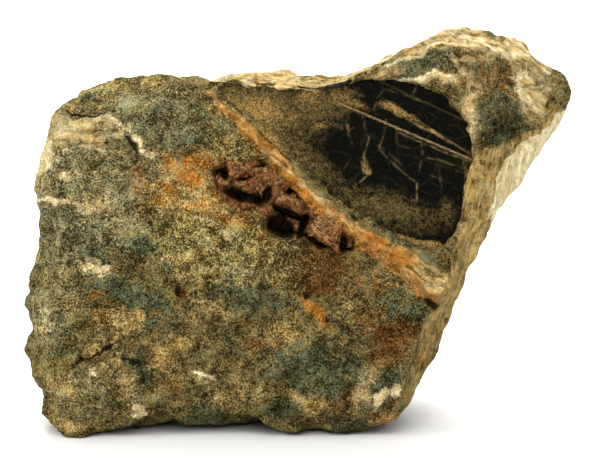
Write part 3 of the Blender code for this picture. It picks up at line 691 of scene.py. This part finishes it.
def add_pigment(tree, place, below, share, per_metre, pigment, **settings):
    """The outputs of a pigment's patches over the dark and light colours below them."""
    values = {"Vector": place, "Dark": below[0], "Light": below[1], "Share": share, **settings}
    values |= {"Patches per metre": per_metre, "Dark pigment": pigment[0], "Light pigment": pigment[1]}
    return add_node(tree, "Group", values, node_tree=patchy_pigment).outputs


STRIP_TILT = math.radians(-14)  # how the striated strip's lines lean from upright
COOL_TINT = (0.88, 1.0, 1.07, 1.0)
WARM_TINT = (1.2, 1.05, 0.8, 1.0)
PIGMENTS = [  # attribute, patches per metre, fraying, edge, dark and light grain of the pigment
    ("seam", 700.0, 1.8, 2.2, (122, 74, 24), (212, 165, 102)),
    ("ochre", 700.0, 2.1, 2.6, (72, 53, 16), (204, 180, 122)),
    ("brown", 600.0, 2.1, 2.1, (38, 22, 3), (138, 96, 50)),
    ("sugar", 900.0, 1.8, 1.5, (48, 41, 9), (220, 200, 130)),
    ("green", 600.0, 2.2, 2.8, (24, 25, 7), (120, 120, 90)),
    # painted light: the pale pigment over the lit left part of the front
    ("painted_light_patches", 500.0, 1.8, 1.2, (56, 50, 20), (196, 186, 140)),
    ("tan", 400.0, 1.5, 1.6, (98, 76, 32), (224, 199, 148)),
    ("striped", 400.0, 1.5, 1.6, (80, 60, 20), (192, 166, 108)),
    ("cream", 800.0, 1.8, 2.2, (172, 150, 96), (250, 236, 194)),
    ("rust", 500.0, 1.9, 1.5, (104, 56, 10), (200, 138, 58)),
    # a rust-brown stain in the pocket, with painted shade near black
    ("hollow", 500.0, 1.0, 1.6, (12, 6, 3), (84, 52, 26)),
    # painted shade under ledges and in a notch, with dark cracks and holes
    ("deep", 900.0, 1.2, 2.2, (9, 7, 2), (52, 39, 18)),
]


def rock_material():
    """Rough stone: every place has a dark and a light grain colour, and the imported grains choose."""
    material, tree, shader, place, grains = grainy_material("matrix_rock_stone", 4800.0, 4.1)
    tree.links.new(add_math(tree, "MULTIPLY", attribute(tree, "sugar"), 0.5), grains.inputs["Cracks"])
    below = srgb(33, 28, 7), srgb(148, 132, 84)
    for n, (name, per_metre, fraying, edge, dark, light) in enumerate(PIGMENTS):
        moved = add_node(tree, "Mapping", {"Vector": place, "Location": (0.3 * n, 0.1 * n, 0.0)}).outputs[0]
        settings = {"Fraying": fraying, "Edge": edge, "Grain": grains.outputs["Grain"]}
        pigment = srgb(*dark), srgb(*light)
        below = add_pigment(tree, moved, below, attribute(tree, name), per_metre, pigment, **settings)
    slow = add_noise(tree, place, 520.0, 4.0, 0.7, 0.8)
    broad = add_noise(tree, place, 190.0, 3.0, 0.55, 1.4)
    tilted = add_node(tree, "Mapping", {"Vector": place, "Rotation": (0.0, STRIP_TILT, 0.0)}).outputs[0]
    drawn = add_node(tree, "Mapping", {"Vector": tilted, "Scale": (1.0, 1.0, 0.1)}).outputs[0]
    streaks = add_noise(tree, drawn, 1800.0, 4.0, 0.75)
    streaks = add_math(tree, "MULTIPLY_ADD", streaks, 3.4, -1.15, clamp=True)
    streaky = add_math(tree, "MULTIPLY", attribute(tree, "streaky"), 0.75)
    tone = add_node(tree, "Mix", {0: streaky, 2: grains.outputs["Tone"], 3: streaks}).outputs[0]
    parts = add_node(tree, "SeparateXYZ", {0: place}).outputs
    along = add_math(tree, "MULTIPLY", parts[0], 0.1)
    bank = attribute(tree, "bank")
    drawn = add_node(tree, "CombineXYZ", {0: along, 1: parts[1], 2: bank}).outputs[0]
    sweep = add_noise(tree, drawn, 1300.0, 4.0, 0.75, 0.6)
    sweep = add_math(tree, "MULTIPLY_ADD", sweep, 3.2, -1.0, clamp=True)
    swept = add_math(tree, "MULTIPLY", attribute(tree, "swept"), 0.85)
    tone = add_node(tree, "Mix", {0: swept, 2: tone, 3: sweep}).outputs[0]
    # Painted shade and light: the relief darkens the tone in its low spots and lightens it on its high
    # ones; the broad and slow noises vary it at random
    for wave, strength in ((attribute(tree, "relief"), 0.5), (broad, 0.9), (slow, 1.7)):
        wave = add_math(tree, "SUBTRACT", wave, 0.5)
        tone = add_math(tree, "MULTIPLY_ADD", wave, strength, tone, clamp=strength == 1.7)
    hue = add_noise(tree, place, 380.0, 5.0, 0.75, 0.8)
    hue = add_math(tree, "MULTIPLY_ADD", hue, 4.0, -1.5, clamp=True)
    tint = add_mix(tree, hue, COOL_TINT, WARM_TINT)
    tinted = add_math(tree, "MULTIPLY_ADD", attribute(tree, "cream"), -0.8, 1.0, clamp=True)
    colour = add_mix(tree, tinted, add_mix(tree, tone, *below[:2]), tint, blend="MULTIPLY")
    tree.links.new(colour, shader["Base Color"])
    tree.links.new(add_math(tree, "MULTIPLY_ADD", tone, -0.25, 0.85), shader["Roughness"])
    shader["Specular IOR Level"].default_value = 0.04
    lumps = add_bump(tree, slow, 0.0016, 0.7)
    tree.links.new(add_bump(tree, grains.outputs["Height"], 0.00035, 0.8, Normal=lumps), shader["Normal"])
    return material


rock_piece.data.materials.append(rock_material())
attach(rock_piece, "root")
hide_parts("matrix_rock")

# The black crystal
# A wedge of black, glassy ore crystal grown into the rock. It has cleaved in long ledges that run down
# across it to the right, and a thin ochre dust lies on its duller steps and in its fine cracks.
CRYSTAL_SUNK = 0.6
LEDGES = [  # a point on the ledge, its turn in degrees, the drop, and where it starts on the left
    (17.0, 45.9, -23.0, 0.8, 5.0), (19.5, 47.3, -32.5, 0.4, 12.5), (19.1, 51.1, -25.0, 0.25, 9.0),
    (22.0, 40.6, -18.0, 0.12, 15.0), (20.0, 34.6, -30.0, 0.06, 13.0),
]
LEDGE_WIDTH = 0.35
LEDGE_START_LENGTH = 2.5
CLEAVAGE = math.radians(-24)
TREAD = 1.3  # width of its small treads, and how much they rise
RISE = 0.11
CRYSTAL_LOWER = [  # right and up along the lower and the upper edge of the crystal's skin
    (-14.6, 53.2), (-8.4, 47.8), (-2.6, 42.0), (3.8, 36.0), (10.2, 31.0), (16.2, 27.9), (21.8, 25.6),
    (25.2, 27.2), (27.0, 30.4), (27.9, 34.4), (28.3, 38.2), (29.0, 41.4),
]
CRYSTAL_UPPER = [
    (-14.6, 53.8), (-3.4, 53.5), (2.6, 52.8), (7.2, 53.9), (11.6, 55.1), (15.8, 54.9), (20.4, 53.8),
    (24.4, 51.7), (27.3, 47.9), (29.0, 44.4),
]
SKIN_DEPTH = 4.0  # thickness of the slab behind the crystal's deepest tread
CRACK_NETS = [  # blocks per metre, how much longer they are along the cleavage, and width in metres
    (260.0, 1.7, 0.00016), (640.0, 1.9, 0.00011),
]


def closed_sheet(front, thickness):
    """A closed slab from a grid of front points (right, depth, up): a second sheet lies that much deeper,
    and walls join their edges. The grid's first way runs right and its second up."""
    rows, columns = front.shape[:2]
    back = front.copy()
    back[..., 1] = front[..., 1].max() + thickness
    points = np.concatenate([front.reshape(-1, 3), back.reshape(-1, 3)])
    key = np.arange(rows * columns).reshape(rows, columns)
    quads = grid_quads(key)
    rim = np.concatenate([key[:-1, 0], key[-1, :-1], key[:0:-1, -1], key[0, :0:-1]])
    after = np.roll(rim, -1)
    under = rows * columns
    wall = np.stack([rim, rim + under, after + under, after], axis=1)
    return points, np.concatenate([quads, quads[:, ::-1] + under, wall])


def ledge_steps(right, up):
    """For each main ledge, how far above it a point lies, how much of the ledge is there, its drop."""
    for right_0, up_0, turn, drop, start in LEDGES:
        above = turned(right - right_0, up - up_0, -math.radians(turn))[1]
        yield above, smooth_step((right - start) / LEDGE_START_LENGTH), drop


def cleaved(right, up):
    """How far the crystal's face lies behind the rock's: its main ledges, then the small treads of its
    cleavage, which run the same way and wander a little."""
    sunk = np.full(right.shape, CRYSTAL_SUNK)
    for above, there, drop in ledge_steps(right, up):
        sunk += drop * smooth_step(above / LEDGE_WIDTH) * there
    flat = np.stack([right, up, 0 * up], axis=-1).reshape(-1, 3)
    wander = (1.3 * noise(flat, 6.0, SEED + 50) + 0.4 * noise(flat, 1.8, SEED + 51)).reshape(right.shape)
    across = (up * math.cos(CLEAVAGE) - right * math.sin(CLEAVAGE)) / TREAD + wander
    tread = np.floor(across)
    sunk += RISE * (smooth_step((across - tread) * 5) + np.sin(7.3 * tread))
    return sunk


across_share = np.linspace(0.0, 1.0, 125)
crystal_right = np.linspace(CRYSTAL_LOWER[0][0], CRYSTAL_LOWER[-1][0], 176)
low_edge = np.interp(crystal_right, *np.array(CRYSTAL_LOWER).T)
high_edge = np.interp(crystal_right, *np.array(CRYSTAL_UPPER).T)
crystal_up = low_edge[:, None] + np.multiply.outer(high_edge - low_edge, across_share)
crystal_right = np.repeat(crystal_right[:, None], len(across_share), axis=1)
crystal_depth = front_depth(crystal_right, crystal_up) + cleaved(crystal_right, crystal_up)
front = np.stack([crystal_right, crystal_depth, crystal_up], axis=-1)
flat = front.reshape(-1, 3)
uneven = 0.1 * noise(flat, 3.0, SEED + 52) + 0.03 * noise(flat, 0.8, SEED + 53)
front[..., 1] += uneven.reshape(crystal_right.shape)
slab, crystal_faces = closed_sheet(front, SKIN_DEPTH)
right, depth, up = slab.T
crystal_x, crystal_y = in_photo(slab, right, up, (3, 2.4, 90, 91))
CRYSTAL_HAZE = [  # olive dust on the crystal, in soft ellipses as on the rock
    (250, 112, 46, 24, 15, 1.0), (312, 108, 24, 14, 0, 0.7), (300, 155, 40, 10, 40, 0.6),
    (385, 208, 44, 12, 16, 0.56), (414, 249, 42, 8, 17, 1.1), (445, 212, 7, 9, 0, 0.5),
    (342, 102, 14, 9, 0, 0.5), (464, 190, 2, 24, 4, 0.7),
]
CRYSTAL_GOLD = [  # brighter ochre dust
    (259, 112, 18, 9, 5, 0.85), (340, 98, 11, 6, 0, 0.45), (272, 141, 15, 6, 45, 0.85),
    (318, 126, 8, 3, 0, 0.4), (340, 128, 10, 3, 5, 0.3), (228, 104, 8, 5, 45, 0.6), (310, 98, 8, 6, 0, 0.6),
    (366, 170, 2.4, 5, -35, 0.8), (396, 112, 13, 3, 25, 0.95), (428, 133, 20, 1.2, 30, 0.7),
    (352, 226, 22, 4, 33, 0.6), (290, 160, 30, 3, 42, 0.5), (295, 120, 8, 5, 0, 0.4),
    (412, 239, 36, 2.0, 15, 1.0), (420, 252, 30, 5, 18, 0.5), (357, 106, 9, 3, 25, 0.5),
]
CRYSTAL_FRACTURES = [  # ends of each fine pale crack, in pixels of the photograph, and its strength
    (398, 134, 470, 164, 0.7), (344, 88, 364, 98, 0.5), (384, 90, 410, 98, 0.45), (410, 98, 432, 107, 0.45),
    (416, 86, 412, 98, 0.5), (384, 90, 378, 98, 0.5), (378, 98, 374, 112, 0.4), (362, 118, 368, 140, 0.45),
    (368, 140, 363, 158, 0.5), (363, 158, 371, 173, 0.8), (371, 173, 360, 183, 0.6),
    (385, 122, 382, 136, 0.6), (382, 136, 379, 150, 0.6), (379, 150, 396, 168, 0.65),
    (396, 168, 416, 184, 0.55), (416, 184, 416, 213, 0.75), (383, 149, 402, 167, 0.4),
    (419, 138, 422, 158, 0.45), (422, 158, 418, 172, 0.4), (422, 158, 442, 162, 0.5),
    (442, 162, 462, 170, 0.45), (461, 160, 463, 174, 0.5), (438, 166, 440, 190, 0.25),
    (330, 104, 348, 112, 0.5), (346, 122, 352, 146, 0.35), (320, 100, 326, 118, 0.4),
    (300, 92, 296, 106, 0.4), (395, 130, 397, 146, 0.3), (397, 146, 410, 150, 0.3),
    (430, 176, 447, 183, 0.3), (404, 190, 398, 214, 0.3), (350, 160, 338, 178, 0.3),
]


def fracture_share(x, y, fractures):
    """How much a point lies in a fine crack: its strength on the crack's line, 0 from two pixels away."""
    share = np.zeros(len(x))
    for x_0, y_0, x_1, y_1, strength in fractures:
        away = along_and_away(x, y, x_0, y_0, x_1, y_1)[1]
        share = np.maximum(share, strength * np.clip(1.1 - 0.9 * away, 0, 1))
    return share


crack_x, crack_y = in_photo(slab, right, up, (1.2, 1.6, 94, 95))
main_ledge = np.zeros(len(slab))
for above, there, drop in ledge_steps(right, up):
    on_edge = smooth_step(1.1 - np.abs(above + 0.1) / 0.2) * there
    main_ledge = np.maximum(main_ledge, min(1.0, 2.0 * drop * drop) * on_edge)
crystal_piece = add_piece(
    "black_crystal_skin", to_space(*slab.T), crystal_faces,
    {"haze": patch_share(crystal_x, crystal_y, CRYSTAL_HAZE),
     "gold": patch_share(crystal_x, crystal_y, CRYSTAL_GOLD),
     "ledge": main_ledge, "fracture": fracture_share(crack_x, crack_y, CRYSTAL_FRACTURES)},
)


def crystal_material():
    """Black glassy ore: dull olive dust in patches, and a net of thin pale cracks along the cleavage."""
    material, tree, shader, place, grains = grainy_material("black_crystal_ore", 5000.0, 3.4)
    along_way = (math.cos(CLEAVAGE), 0.0, math.sin(CLEAVAGE))
    across_way = (-math.sin(CLEAVAGE), 0.0, math.cos(CLEAVAGE))
    along, across = (
        add_node(tree, "VectorMath", {0: place, 1: way}, operation="DOT_PRODUCT").outputs["Value"]
        for way in (along_way, across_way)
    )
    on_face = add_node(tree, "CombineXYZ", {0: along, 1: across}).outputs[0]
    cracks = []
    for n, (per_metre, longer, width) in enumerate(CRACK_NETS):
        waves = {"Vector": place, "Scale": 0.5 * per_metre, "Detail": 3.0}
        waves = add_node(tree, "TexNoise", waves).outputs["Color"]
        bend = {0: waves, "Scale": 0.8 / per_metre}
        bend = add_node(tree, "VectorMath", bend, operation="SCALE").outputs[0]
        bent = add_node(tree, "VectorMath", {0: on_face, 1: bend}, operation="ADD").outputs[0]
        bent = add_node(tree, "Mapping", {"Vector": bent, "Scale": (1 / longer, 1.0, 1.0)}).outputs[0]
        lines = {"Vector": bent, "Scale": per_metre, "Randomness": 0.8}
        line = add_node(tree, "TexVoronoi", lines, feature="DISTANCE_TO_EDGE").outputs["Distance"]
        line = add_math(tree, "MULTIPLY_ADD", line, -1 / (width * per_metre), 1.0, clamp=True)
        broken = add_noise(tree, place, 350.0 + 400.0 * n, 4.0)
        broken = add_math(tree, "MULTIPLY_ADD", broken, 6.0, -2.7, clamp=True)
        cracks.append(add_math(tree, "MULTIPLY", line, broken))
    net = add_math(tree, "MULTIPLY", add_math(tree, "MAXIMUM", *cracks), 0.05)
    layer = srgb(2, 2, 1), srgb(11, 11, 7)
    for name, per_metre, dust in (
        ("haze", 1300.0, (srgb(16, 13, 4), srgb(114, 97, 55))),
        ("gold", 1000.0, (srgb(44, 31, 11), srgb(158, 127, 70))),
    ):
        settings = {"Fraying": 2.0, "Edge": 1.3}
        layer = add_pigment(tree, place, layer, attribute(tree, name), per_metre, dust, **settings)
    colour = add_mix(tree, grains.outputs["Tone"], *layer[:2])
    patchy = add_math(tree, "MULTIPLY_ADD", add_noise(tree, place, 900.0, 3.0), 3.0, -1.05, clamp=True)
    fracture = add_math(tree, "MULTIPLY", attribute(tree, "fracture"), patchy)
    colour = add_mix(tree, add_math(tree, "MAXIMUM", net, fracture), colour, srgb(116, 100, 62))
    ledge = add_math(tree, "MULTIPLY_ADD", grains.outputs["Tone"], 1.2, 0.1, clamp=True)
    ledge = add_math(tree, "MULTIPLY", attribute(tree, "ledge"), ledge)
    colour = add_mix(tree, ledge, colour, srgb(146, 124, 80))
    tree.links.new(colour, shader["Base Color"])
    dull = add_math(tree, "MAXIMUM", layer["Mask"], ledge)
    tree.links.new(add_math(tree, "MULTIPLY_ADD", dull, 0.5, 0.22), shader["Roughness"])
    shader["Specular IOR Level"].default_value = 0.03
    tree.links.new(add_bump(tree, grains.outputs["Height"], 0.0002, 0.35), shader["Normal"])
    return material


crystal_piece.data.materials.append(crystal_material())
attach(crystal_piece, "root")
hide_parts("black_crystal")

# The pocket's crystals
# A crust of blocky crystals that grew into the open pocket, coated with earthy rust. The larger ones
# stand where the crust's solid has them, and smaller ones fill its rough bed.
CRUST_CRYSTALS = [  # right, up, depth, half length, width and thickness, turn and tip in degrees
    (-1.7, 34.1, -17.7, 2.5, 1.4, 1.7, 24, 10), (4.3, 30.0, -17.7, 2.6, 2.2, 1.7, 34, -12),
    (-9.9, 38.9, -17.4, 1.7, 1.3, 1.6, -20, 25), (-7.4, 39.2, -17.2, 1.7, 1.0, 1.5, 30, -8),
    (-5.7, 38.1, -17.6, 1.6, 1.2, 1.5, 15, 30), (-10.7, 36.6, -16.9, 1.5, 1.2, 1.4, 70, 12),
    (-8.0, 36.5, -17.2, 1.6, 1.3, 1.4, 8, -28), (-4.7, 36.1, -17.9, 1.1, 0.9, 1.8, 40, 18),
    (-6.1, 34.3, -16.7, 1.6, 1.2, 1.3, -12, -20), (-4.3, 31.7, -16.8, 1.5, 1.2, 1.6, 57, 19),
    (0.3, 31.0, -16.2, 1.7, 1.3, 1.2, 28, -18), (7.3, 28.3, -17.3, 1.3, 1.1, 1.9, 77, 12),
    (1.4, 28.8, -16.8, 1.4, 1.1, 1.4, -35, 26),
]
SMALL_CRYSTALS = 110
RUBBLE_CRYSTALS = 90  # the left part of the pocket is filled nearly to the brim
RUBBLE_HALF = 5.2
POCKET = (-2.4, 33.0)  # right and up of its middle
POCKET_HALF = (11.6, 4.4)
POCKET_TURN = math.radians(-31.0)
BED_DEPTH = -14.6
BED_MARGIN = 1.4
BEVEL_START = 1.72  # how far from the middle, in half sizes along two axes together, an edge is cut off


def block_points(unit, middle, half, turn, tip):
    """A bevelled block: a unit cube's points, drawn in where two of their sizes together pass the
    bevel, stretched to the half sizes, tipped about the right axis and turned on the drawing plane."""
    size = np.abs(unit)
    two_together = (size + np.roll(size, 1, axis=1)).max(axis=1)
    places = unit / np.maximum(1.0, two_together / BEVEL_START)[:, None]
    right, depth, up = (places * half * (1 + 0.12 * unit[:, [1, 2, 0]])).T
    depth, up = turned(depth, up, tip)
    right, depth = turned(right, depth, 0.6 * tip)
    right, up = turned(right, up, -turn)
    return np.stack([right, depth, up], axis=1) + middle


def in_pocket(along, across):
    """Right and up of a place measured from the pocket's middle, along and across its length."""
    right, up = turned(along, across, POCKET_TURN)
    return POCKET[0] + right, POCKET[1] + up


def loose_block(along, across, size, front, deeper, shares):
    """A small block of random depth behind the front one, random half sizes in those shares of its
    size, and random turn and tip."""
    depth = front - deeper * draw.uniform()
    half = [size * draw.uniform(*share) for share in shares]
    return (*in_pocket(along, across), depth, *half, draw.uniform(0, math.pi), draw.uniform(-0.6, 0.6))


steps = np.linspace(-1.0, 1.0, 9)
unit, block_faces = box_lattice(steps, steps, steps)
draw = np.random.default_rng(SEED + 70)
blocks = [(*b[:6], math.radians(b[6]), math.radians(b[7])) for b in CRUST_CRYSTALS]
for _ in range(SMALL_CRYSTALS):
    far, round_way = math.sqrt(draw.uniform()), draw.uniform(0, 2 * math.pi)
    along, across = POCKET_HALF[0] * far * math.cos(round_way), POCKET_HALF[1] * far * math.sin(round_way)
    size = draw.uniform(0.35, 1.05)
    shares = (0.9, 1.6), (0.6, 1.0), (0.8, 1.6)
    blocks.append(loose_block(along, across, size, -15.6 - 1.2 * far, 1.6, shares))
for _ in range(RUBBLE_CRYSTALS):
    along = draw.uniform(-12.2, -2.5)
    across = RUBBLE_HALF * math.sqrt(1 - (along / 12.6) ** 2) * draw.uniform(-1, 1)
    size = draw.uniform(0.45, 1.0)
    shares = (0.9, 1.7), (0.6, 1.1), (0.8, 1.4)
    blocks.append(loose_block(along, across, size, -17.6, 1.3, shares))
parts = []
part_faces = []
for n, (b_right, b_up, b_depth, length, width, thickness, turn, tip) in enumerate(blocks):
    middle = np.array([b_right, b_depth, b_up])
    parts.append(block_points(unit, middle, np.array([length, thickness, width]), turn, tip))
    part_faces.append(block_faces + n * len(unit))
square = np.meshgrid(np.linspace(-1.0, 1.0, 90), np.linspace(-1.0, 1.0, 44), indexing="ij")
disc_along = square[0] * np.sqrt(1 - square[1]**2 / 2) * (POCKET_HALF[0] + BED_MARGIN)
disc_across = square[1] * np.sqrt(1 - square[0]**2 / 2) * (POCKET_HALF[1] + BED_MARGIN)
bed_right, bed_up = in_pocket(disc_along, disc_across)
bed = np.stack([bed_right, np.full(bed_up.shape, BED_DEPTH), bed_up], axis=-1)
flat = bed.reshape(-1, 3)
uneven = 0.7 * noise(flat, 2.2, SEED + 72) + 0.35 * noise(flat, 0.9, SEED + 73)
bed[..., 1] += uneven.reshape(disc_along.shape)
bed_points, bed_faces = closed_sheet(bed, 1.0)
part_faces.append(bed_faces + len(blocks) * len(unit))
parts.append(bed_points)
crust = np.concatenate(parts)
crust_faces = np.concatenate(part_faces)
roughness = 0.16 * noise(crust, 1.1, SEED + 74) + 0.1 * noise(crust, 0.45, SEED + 75)
crust += normals_of(crust, crust_faces) * roughness[:, None]
# Painted shade: the gaps are pushed deeper, and through the crust's height their colour is painted near
# black
CRUST_GAPS = [  # dark gaps between the crust's blocks, in soft ellipses
    (225, 173, 3.5, 8, -30, 1.0), (246, 197, 20, 5, 18, 1.0), (288, 213, 17, 4, 25, 1.0),
    (280, 228, 15, 10, 30, 1.0), (304, 226, 4, 13, 25, 0.9), (316, 245, 21, 5, 33, 1.0),
    (344, 241, 4, 11, 10, 1.0), (268, 196, 4, 9, 10, 0.9), (245, 180, 10, 2, -15, 0.7),
]
gap_x, gap_y = in_photo(crust, crust[:, 0], crust[:, 2], (2, 1.2, 92, 93))
gap = smooth_step((patch_share(gap_x, gap_y, CRUST_GAPS) - 0.45) / 0.3)
crust[:, 1] += 2.6 * gap * (crust[:, 1] < -15.5)
tone_of_block = np.repeat(draw.uniform(0, 1, len(blocks)), len(unit))
reach_out = np.abs(unit)
from_edge = (reach_out + np.roll(reach_out, 1, axis=1)).max(axis=1)  # two sizes together: 2 on an edge
# painted light: pale highlights along the blocks' edges, and faces that look up painted paler, over a
# random tone for each block
painted_edge_highlight = np.tile(smooth_step((from_edge - 1.4) / 0.35) - 0.5 * (from_edge > 1.95), len(blocks))
upward = normals_of(crust, crust_faces)[: len(tone_of_block), 2]
tone_of_block = 0.4 * tone_of_block + 0.45 * painted_edge_highlight + 0.35 * upward
tone_of_block[: 2 * len(unit)] += 0.25
tone_of_block = np.clip(tone_of_block, 0, 1)
crust_piece = add_piece(
    "pocket_crystal_crust", to_space(*crust.T), crust_faces,
    {"pale": np.concatenate([tone_of_block, np.zeros(len(bed_points))]),
     # height: how far the crust stands out of the pocket, 0 in the gaps; the shader paints shade from it
     "height": (1 - 0.9 * gap) * np.clip((crust[:, 1] + 14.8) / -3.6, 0, 1)},
    sharp_above=24,
)


def crust_material():
    """Earthy rust on blocky crystals, painted near black as shade deep in the pocket, paler on what stands
    proud.
    """
    material, tree, shader, place, grains = grainy_material("pocket_crystal_rust_and_shade", 3000.0, 2.4, 0.2)
    # painted shade: the colours go near black the deeper a place lies in the pocket
    proud = attribute(tree, "height")
    dark = add_mix(tree, proud, srgb(3, 2, 1), srgb(38, 20, 8))
    light = add_mix(tree, proud, srgb(12, 7, 3), srgb(104, 65, 31))
    # painted light: pale holds the blocks' painted edge highlights and their paler upward faces
    pale = add_math(tree, "MULTIPLY", attribute(tree, "pale"), proud)
    light = add_mix(tree, pale, light, srgb(194, 152, 98))
    rusty = add_math(tree, "MULTIPLY", proud, 0.4)
    rust = srgb(44, 18, 6), srgb(140, 78, 32)
    layer = add_pigment(tree, place, (dark, light), rusty, 400.0, rust)
    tree.links.new(add_mix(tree, grains.outputs["Tone"], *layer[:2]), shader["Base Color"])
    shader["Roughness"].default_value = 0.8
    shader["Specular IOR Level"].default_value = 0.1
    tree.links.new(add_bump(tree, grains.outputs["Height"], 0.0003, 0.6), shader["Normal"])
    return material


crust_piece.data.materials.append(crust_material())
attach(crust_piece, "root")
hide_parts("pocket_crystals")

# The floor, the light and the eye
# A plain white sheet under a wide soft light from above, as in a light tent, and the eye far off,
# looking down at the stone by the angle that its front leans back.
FLOOR_HALF = 3.0
EYE_DISTANCE = 1.5
PHOTO_WIDTH = 600
PHOTO_HEIGHT = 463
SENSOR = 36.0


def floor_mesh():
    """A square sheet on a grid of five by five points."""
    side = np.linspace(-FLOOR_HALF, FLOOR_HALF, 5)
    x, y = np.meshgrid(side, side, indexing="ij")
    points = np.stack([x.ravel(), y.ravel(), 0 * x.ravel()], axis=1) / MM
    return points, grid_quads(np.arange(25).reshape(5, 5))


floor = add_piece("white_sheet", *floor_mesh(), {})
floor_material = bpy.data.materials.new("white_sheet_paper")
floor_material.use_nodes = True
paper = floor_material.node_tree.nodes["Principled BSDF"]
paper.inputs["Base Color"].default_value = srgb(214, 213, 210)
paper.inputs["Roughness"].default_value = 0.7
floor.data.materials.append(floor_material)

world = bpy.data.worlds.new("light_tent")
bpy.context.scene.world = world
world.use_nodes = True
sky = world.node_tree
sky_way = add_node(sky, "TexCoord").outputs["Generated"]
sky_height = add_node(sky, "SeparateXYZ", {0: sky_way}).outputs["Z"]
sky_share = add_math(sky, "MULTIPLY_ADD", sky_height, 1.1, 0.0, clamp=True)
sky_colour = add_mix(sky, sky_share, (0.36, 0.36, 0.36, 1.0), (1.25, 1.25, 1.25, 1.0))
sky.links.new(sky_colour, sky.nodes["Background"].inputs["Color"])

LAMPS = [  # place in metres, size, watts
    ((0.0, 0.7, 0.85), 0.8, 23.0), ((-0.1, -1.1, 0.75), 0.8, 16.5), ((-0.42, -0.3, 0.34), 0.25, 2.0),
]
for n, (place, size, watts) in enumerate(LAMPS):
    lamp = bpy.data.lights.new(f"soft_lamp_{n + 1}", "AREA")
    lamp.size = size
    lamp.energy = watts
    holder = bpy.data.objects.new(lamp.name, lamp)
    bpy.context.scene.collection.objects.link(holder)
    holder.location = place
    away = np.array([0.0, 0.0, 0.03]) - place
    flat_way = math.hypot(away[0], away[1])
    holder.rotation_euler = (math.atan2(flat_way, -away[2]), 0.0, math.atan2(-away[0], away[1]))
    holder.visible_camera = False
    holder.visible_glossy = False

camera = bpy.data.cameras.new("eye")
eye = bpy.data.objects.new("eye", camera)
bpy.context.scene.collection.objects.link(eye)
look_at = UP * (PHOTO_GROUND - PHOTO_HEIGHT / 2) / PIXELS_PER_MM * MM
eye.location = look_at - DEPTH * EYE_DISTANCE
eye.rotation_euler = (math.radians(90) - LEAN, 0.0, 0.0)
camera.sensor_width = SENSOR
camera.lens = SENSOR * EYE_DISTANCE / (PHOTO_WIDTH / PIXELS_PER_MM * MM)
camera.clip_end = 10.0
bpy.context.scene.camera = eye
bpy.context.scene.view_settings.view_transform = "Standard"
